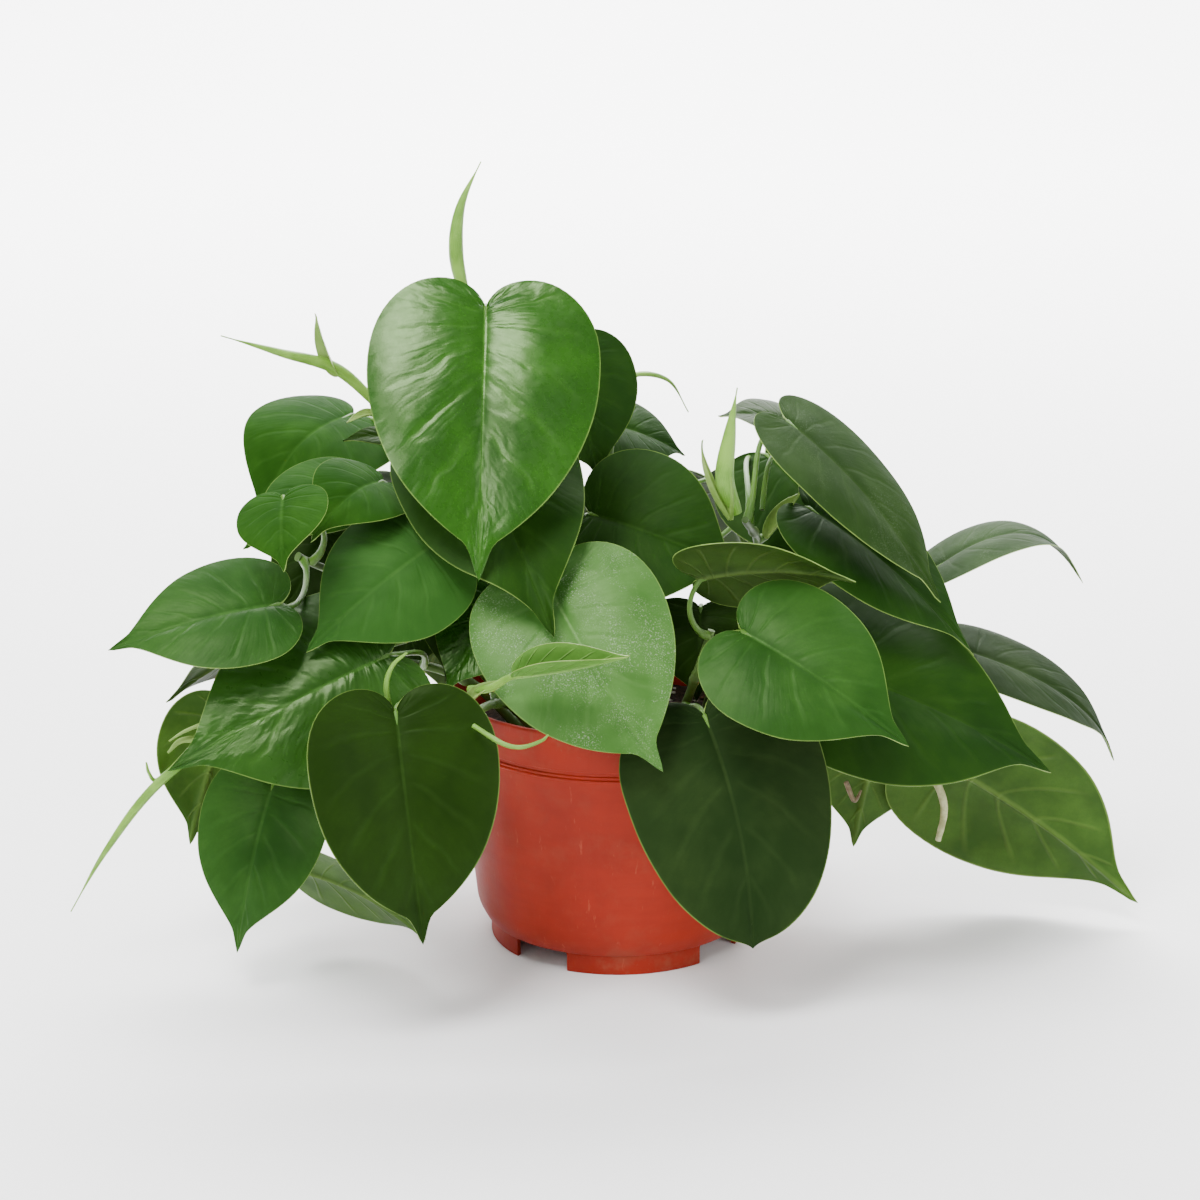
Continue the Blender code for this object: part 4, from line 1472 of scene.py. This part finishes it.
@dataclass
class Trim:
    """The sheaths, roots and tendrils at the vines' joints, and two small dark leaves deep inside,
    which are painted shade that darkens the gaps there.
    """

    foliage: Foliage
    sides: int = 10
    steps: int = 24

    def strand(self, strand: Strand) -> Shape:
        """Builds a strand, knobbly and tapering.

        Args:
            strand: The strand of the plan.

        Returns:
            The closed tube.
        """
        path = [p * MM for p in through(strand.points, self.steps)]
        radii = []
        for k, point in enumerate(path):
            u = k / self.steps
            taper = 1 - (1 - strand.blunt) * u ** 2
            radii.append(strand.radius * MM * taper * (1 + 0.16 * noise.noise(point * 260)))
        return tube(path, radii, self.sides)

    def build(self, palette: Palette) -> None:
        """Builds the trim.

        Args:
            palette: The materials.
        """
        for leaf in SMALL_BLADES:
            piece = self.foliage.blade(leaf).build(leaf.name, [palette.get(leaf.tone)] * 3)
            add(piece)
        for strand in STRANDS:
            piece = self.strand(strand).build(strand.name, [palette.get(strand.bark)])
            add(piece)


# The pot and its soil


@dataclass
class NurseryPot:
    """The moulded pot, with its rim band, rounded foot, notches and drain holes."""

    band: float = 0.017
    band_step: float = 0.0022
    wall: float = 0.0016
    wall_top_inset: float = 0.0027
    wall_foot_inset: float = 0.012
    corner: float = 0.007
    corner_inset: float = 0.004
    bead: float = 0.0006
    bead_drops: tuple[float, float] = (0.0046, 0.0028)
    foot_inset: float = 0.018
    foot_height: float = 0.0095
    foot_wall: float = 0.0022
    feet: int = 4
    foot_turn: float = math.radians(8)
    foot_notch: float = math.radians(28)
    drain_radius: float = 0.0045
    drain_inset: float = 0.032
    drain_cut: float = 0.02
    sides: int = 160
    rounding: float = 0.0006
    sharp: float = math.radians(32)

    def __post_init__(self) -> None:
        """Takes the height and the rim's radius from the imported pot."""
        low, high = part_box("pot")
        self.top = high[2] - low[2]
        self.rim = (high[0] - low[0]) / 2

    def wall_radius(self, height: float) -> float:
        """Finds the outer radius of the wall.

        Args:
            height: The height above the table.

        Returns:
            The radius there.
        """
        low = self.foot_height + self.corner
        share = (height - low) / (self.top - self.band - low)
        foot = self.rim - self.wall_foot_inset
        return foot + (self.rim - self.wall_top_inset - foot) * share

    def section(self) -> list[tuple[float, float, float]]:
        """Lists the corners of the pot's section.

        Returns:
            The radius, height and rounding of each corner, up the outside and down the inside.
        """
        foot = self.rim - self.foot_inset
        wall_foot = self.rim - self.wall_foot_inset
        wall_top = self.rim - self.wall_top_inset
        floor = self.foot_height
        band = self.top - self.band
        small = self.rounding
        outer = [(foot - self.foot_wall, floor, 0.0), (foot - self.foot_wall, 0.0, small),
                 (foot, 0.0, small), (foot, floor, small),
                 (wall_foot - self.corner_inset, floor, 0.002),
                 (wall_foot, floor + self.corner, 0.004)]
        lines = []
        for drop in self.bead_drops:
            for step, out in ((-0.0007, 0.0), (-0.0003, self.bead), (0.0003, self.bead),
                              (0.0007, 0.0)):
                height = band - drop + step
                lines.append((self.wall_radius(height) + out, height, 0.0002))
        rim = [(wall_top, band, 0.0003), (wall_top + self.band_step, band, small),
               (self.rim, self.top - 0.0011, small), (self.rim - 0.0004, self.top, small),
               (self.rim - self.wall - 0.0002, self.top, small),
               (self.rim - 1.3 * self.wall, self.top - 0.0012, small),
               (wall_top + self.band_step - 1.3 * self.wall, band + self.wall, 0.001),
               (wall_top - self.wall, band - self.wall, 0.001)]
        inner = [(wall_foot - self.wall, floor + self.corner + self.wall, 0.004),
                 (wall_foot - self.corner_inset - self.wall, floor + self.wall, 0.002)]
        return outer + lines + rim + inner

    @staticmethod
    def rounded(corners: list[tuple[float, float, float]], steps: int = 4) -> list[Vector]:
        """Rounds the corners of a closed section.

        Args:
            corners: The radius, height and rounding of each.
            steps: How many pieces a rounding is cut into.

        Returns:
            The points of the rounded section.
        """
        found = []
        for k, (x, y, size) in enumerate(corners):
            here = Vector((x, y))
            before = Vector(corners[k - 1][:2]) - here
            after = Vector(corners[(k + 1) % len(corners)][:2]) - here
            reach = min(size, 0.45 * before.length, 0.45 * after.length)
            if reach < 1e-5:
                found.append(here)
                continue
            first = here + before.normalized() * reach
            last = here + after.normalized() * reach
            for i in range(steps + 1):
                u = i / steps
                found.append((1 - u) ** 2 * first + 2 * (1 - u) * u * here + u * u * last)
        return found

    def turned(self) -> Shape:
        """Turns the section about the pot's axis.

        Returns:
            The closed pot, without its notches and holes.
        """
        outline = self.rounded(self.section())
        shape = Shape()
        for k in range(self.sides):
            angle = 2 * math.pi * k / self.sides
            for spot in outline:
                shape.points.append(Vector((spot.x * math.cos(angle), spot.x * math.sin(angle),
                                            spot.y)))
        high = len(outline)
        for k in range(self.sides):
            near = k * high
            far = (k + 1) % self.sides * high
            for i in range(high - 1):
                shape.faces.append((near + i, far + i, far + i + 1, near + i + 1))
        centre = len(shape.points)
        shape.points += [Vector((0, 0, self.foot_height)),
                         Vector((0, 0, self.foot_height + self.wall))]
        for k in range(self.sides):
            near = k * high
            far = (k + 1) % self.sides * high
            shape.faces.append((centre, far, near))
            shape.faces.append((centre + 1, near + high - 1, far + high - 1))
        shape.slots = [0] * len(shape.faces)
        return shape

    def cut(self, pot: bpy.types.Object, cutter: bmesh.types.BMesh) -> None:
        """Cuts a shape out of the pot.

        Args:
            pot: The pot.
            cutter: The shape, which is used up.
        """
        mesh = bpy.data.meshes.new("cutter")
        cutter.to_mesh(mesh)
        cutter.free()
        other = bpy.data.objects.new("cutter", mesh)
        bpy.context.scene.collection.objects.link(other)
        step = pot.modifiers.new("cut", "BOOLEAN")
        step.operation = "DIFFERENCE"
        step.solver = "EXACT"
        step.object = other
        shaped = pot.evaluated_get(bpy.context.evaluated_depsgraph_get())
        old = pot.data
        pot.data = bpy.data.meshes.new_from_object(shaped)
        pot.modifiers.clear()
        bpy.data.meshes.remove(old)
        bpy.data.objects.remove(other, do_unlink=True)

    def notch(self, angle: float) -> bmesh.types.BMesh:
        """Makes the block that cuts a notch.

        Args:
            angle: Where the notch's middle is, round from +X.

        Returns:
            The block, with rounded upper corners.
        """
        block = bmesh.new()
        bmesh.ops.create_cube(block, size=1.0)
        upright = [e for e in block.edges if abs(e.verts[0].co.x - e.verts[1].co.x) > 0.5]
        foot = self.rim - self.foot_inset
        width = 2 * foot * math.sin(self.foot_notch / 2)
        for v in block.verts:
            v.co = Vector((v.co.x * 6 * self.foot_wall, v.co.y * width,
                           v.co.z * 2 * (self.foot_height - 0.0003)))
        bmesh.ops.bevel(block, geom=upright, offset=0.0015, segments=4, affect="EDGES",
                        profile=0.5)
        reach = foot - self.foot_wall / 2
        for v in block.verts:
            out = reach + v.co.x
            v.co = Vector((out * math.cos(angle) - v.co.y * math.sin(angle),
                           out * math.sin(angle) + v.co.y * math.cos(angle), v.co.z))
        return block

    def build(self, palette: Palette) -> None:
        """Builds the pot in place of the plain one.

        Args:
            palette: The materials.
        """
        plastic = palette.get(PotPlastic(self.top))
        pot = self.turned().build("pot_fine", [plastic])
        for k in range(self.feet):
            angle = -math.pi / 2 + self.foot_turn + (k + 0.5) * 2 * math.pi / self.feet
            self.cut(pot, self.notch(angle))
            hole = bmesh.new()
            bmesh.ops.create_cone(hole, cap_ends=True, segments=32, radius1=self.drain_radius,
                                  radius2=self.drain_radius, depth=self.drain_cut)
            ring = self.rim - self.drain_inset
            bmesh.ops.translate(hole, verts=hole.verts, vec=(
                ring * math.cos(angle), ring * math.sin(angle), self.foot_height))
            self.cut(pot, hole)
        pot.data.shade_smooth()
        pot.data.set_sharp_from_angle(angle=self.sharp)
        stand(pot, "pot")


@dataclass
class PottingMix:
    """The soil's lumpy surface, with bark and perlite on it."""

    rings: int = 46
    sides: int = 150
    lumps: float = 0.0024
    sunk: float = 0.0005
    fall: float = 0.0035
    wall_clear: float = 0.004
    foot_inset: float = 0.011
    bark_chips: int = 230
    perlite_grains: int = 90

    def height(self, x: float, y: float) -> float:
        """Finds the soil's height over its lowest level.

        Args:
            x: Where, from left to right.
            y: Where, from front to back.

        Returns:
            The height of the lumps there.
        """
        spot = Vector((x, y, 0.3))
        big = noise.noise(spot * 60)
        small = noise.noise(spot * 210)
        finest = noise.noise(spot * 620)
        return self.lumps * (0.5 * big + 0.6 * abs(small) + 0.3 * finest)

    def surface(self) -> Shape:
        """Builds the soil down to the pot's floor.

        Returns:
            The closed solid.
        """
        low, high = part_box("soil")
        top = high[2] - self.sunk
        wide = (high[0] - low[0]) / 2
        shape = Shape(points=[Vector((0, 0, top + self.height(0, 0)))])
        for k in range(1, self.rings + 1):
            radius = wide * k / self.rings
            fall = self.fall * (k / self.rings) ** 2
            for i in range(self.sides):
                angle = 2 * math.pi * i / self.sides
                x, y = radius * math.cos(angle), radius * math.sin(angle)
                shape.points.append(Vector((x, y, top - fall + self.height(x, y))))
        foot = wide - self.foot_inset
        for radius, height in ((foot + 0.0015, low[2] + 0.008), (foot - 0.004, low[2])):
            for i in range(self.sides):
                angle = 2 * math.pi * i / self.sides
                shape.points.append(Vector((radius * math.cos(angle), radius * math.sin(angle),
                                            height)))
        for i in range(self.sides):
            j = (i + 1) % self.sides
            shape.faces.append((0, 1 + i, 1 + j))
            for k in range(self.rings + 1):
                row = 1 + k * self.sides
                shape.faces.append((row + i, row + self.sides + i, row + self.sides + j, row + j))
        last = 1 + (self.rings + 1) * self.sides
        shape.faces.append(tuple(range(last, last + self.sides))[::-1])
        shape.slots = [0] * len(shape.faces)
        return shape

    def scatter(self, count: int, size: tuple[float, float], stretch: float, seed: int) -> Shape:
        """Scatters lumps over the soil.

        Args:
            count: How many there are.
            size: The least and greatest radius.
            stretch: How much longer than wide a lump may be.
            seed: The seed for their places.

        Returns:
            All of them in one shape.
        """
        low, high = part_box("soil")
        wide = (high[0] - low[0]) / 2 - self.wall_clear
        draw = random.Random(seed)
        ball = bmesh.new()
        bmesh.ops.create_icosphere(ball, subdivisions=2, radius=1.0)
        corners = [v.co.copy() for v in ball.verts]
        faces = [tuple(v.index for v in f.verts) for f in ball.faces]
        ball.free()
        shape = Shape()
        for k in range(count):
            radius = wide * math.sqrt(draw.random())
            angle = draw.uniform(0, 2 * math.pi)
            x, y = radius * math.cos(angle), radius * math.sin(angle)
            scale = draw.uniform(*size)
            long = scale * draw.uniform(1, stretch)
            turn = draw.uniform(0, math.pi)
            fall = self.fall * (radius / wide) ** 2
            rise = self.height(x, y) + scale * 0.2
            centre = Vector((x, y, high[2] - self.sunk - fall + rise))
            start = len(shape.points)
            for corner in corners:
                rough = 1 + 0.45 * noise.noise(corner * 1.7 + Vector((k * 3.1, 0, 0)))
                spot = Vector((corner.x * long, corner.y * scale, corner.z * scale * 0.6)) * rough
                shape.points.append(centre + Vector((
                    spot.x * math.cos(turn) - spot.y * math.sin(turn),
                    spot.x * math.sin(turn) + spot.y * math.cos(turn), spot.z)))
            shape.faces += [tuple(i + start for i in face) for face in faces]
        shape.slots = [0] * len(shape.faces)
        return shape

    def build(self, palette: Palette) -> None:
        """Builds the soil in place of the plain one, with its lumps.

        Args:
            palette: The materials.
        """
        earth = palette.get(Earth("potting_mix", (0.012, 0.008, 0.005), (0.05, 0.03, 0.018)))
        stand(self.surface().build("soil_fine", [earth], 70), "soil")
        bark = palette.get(Earth("bark_chip", (0.03, 0.016, 0.009), (0.11, 0.06, 0.03), 0.8))
        chips = self.scatter(self.bark_chips, (0.0008, 0.0022), 2.6, 11)
        add(chips.build("bark_chips", [bark], 35))
        white = palette.get(Earth("perlite_grain", (0.42, 0.39, 0.34), (0.7, 0.68, 0.62), 0.85))
        grains = self.scatter(self.perlite_grains, (0.0006, 0.0014), 1.3, 23)
        add(grains.build("perlite_grains", [white], 35))


# The studio


@dataclass(frozen=True)
class Softbox:
    """A soft light: where it stands, what it looks at, its size and its power."""

    name: str
    spot: Spot
    aim: Spot
    size: float
    power: float


@dataclass
class Studio:
    """The camera, the lights and the pale sweep behind the plant."""

    eye: Spot = (-0.008, -1.2034, 0.4943)
    tilt: float = 15.7
    lens: float = 83.9
    daylight: float = 0.7
    floor_near: float = -4.0
    floor_far: float = 3.0
    floor_side: float = 6.0
    bend: float = 1.5
    bend_steps: int = 16
    backdrop_top: float = 5.0
    softboxes: tuple[Softbox, ...] = (
        Softbox("key_softbox", (-0.5, -0.9, 1.9), (0.0, 0.0, 0.15), 0.8, 62.0),
        Softbox("glint_softbox", (-0.85, -1.6, 1.15), (0.0, 0.0, 0.2), 0.45, 15.0),
        Softbox("fill_softbox", (1.5, -1.2, 0.9), (0.0, 0.0, 0.15), 1.0, 16.0),
        Softbox("sweep_softbox", (0.0, 2.8, 3.2), (0.0, 4.6, 0.0), 4.0, 1050.0),
    )

    def camera(self) -> None:
        """Sets the camera up."""
        lens = bpy.data.cameras.new("camera")
        lens.lens = self.lens
        lens.sensor_width = 36.0
        camera = bpy.data.objects.new("camera", lens)
        camera.location = self.eye
        camera.rotation_euler = (math.radians(90 - self.tilt), 0, 0)
        bpy.context.scene.collection.objects.link(camera)
        bpy.context.scene.camera = camera

    def lights(self) -> None:
        """Sets the softboxes and the even light of the room."""
        for box in self.softboxes:
            light = bpy.data.lights.new(box.name, "AREA")
            light.shape = "SQUARE"
            light.size = box.size
            light.energy = box.power
            lamp = bpy.data.objects.new(box.name, light)
            lamp.location = box.spot
            aim = Vector(box.aim) - Vector(box.spot)
            lamp.rotation_euler = aim.to_track_quat("-Z", "Y").to_euler()
            bpy.context.scene.collection.objects.link(lamp)
        world = bpy.data.worlds.new("room")
        world.use_nodes = True
        room = world.node_tree.nodes["Background"]
        room.inputs["Color"].default_value = (1.0, 1.0, 1.0, 1.0)
        room.inputs["Strength"].default_value = self.daylight
        bpy.context.scene.world = world

    def sweep(self, palette: Palette) -> None:
        """Lays the floor, which curves up into a backdrop.

        Args:
            palette: The materials.
        """
        profile = [(self.floor_near, 0.0), (self.floor_far, 0.0)]
        for k in range(1, self.bend_steps + 1):
            angle = math.pi / 2 * k / self.bend_steps
            profile.append((self.floor_far + self.bend * math.sin(angle),
                            self.bend - self.bend * math.cos(angle)))
        profile.append((self.floor_far + self.bend, self.backdrop_top))
        shape = Shape()
        for y, z in profile:
            shape.points += [Vector((-self.floor_side, y, z)), Vector((self.floor_side, y, z))]
        shape.faces = [(2 * k, 2 * k + 1, 2 * k + 3, 2 * k + 2) for k in range(len(profile) - 1)]
        shape.slots = [0] * len(shape.faces)
        shape.build("studio_sweep", [palette.get(StudioPaper())])

    def build(self, palette: Palette) -> None:
        """Sets up the studio.

        Args:
            palette: The materials.
        """
        self.camera()
        self.lights()
        self.sweep(palette)


def main() -> None:
    """Builds the plant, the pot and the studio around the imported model."""
    logging.basicConfig(level=logging.INFO, format="%(name)s %(message)s")
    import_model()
    palette = Palette()
    Studio().build(palette)
    NurseryPot().build(palette)
    PottingMix().build(palette)
    Stems().build(palette)
    foliage = Foliage()
    foliage.build(palette)
    NewGrowth(foliage).build(palette)
    Trim(foliage).build(palette)
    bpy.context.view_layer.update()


if __name__ == "__main__":
    main()
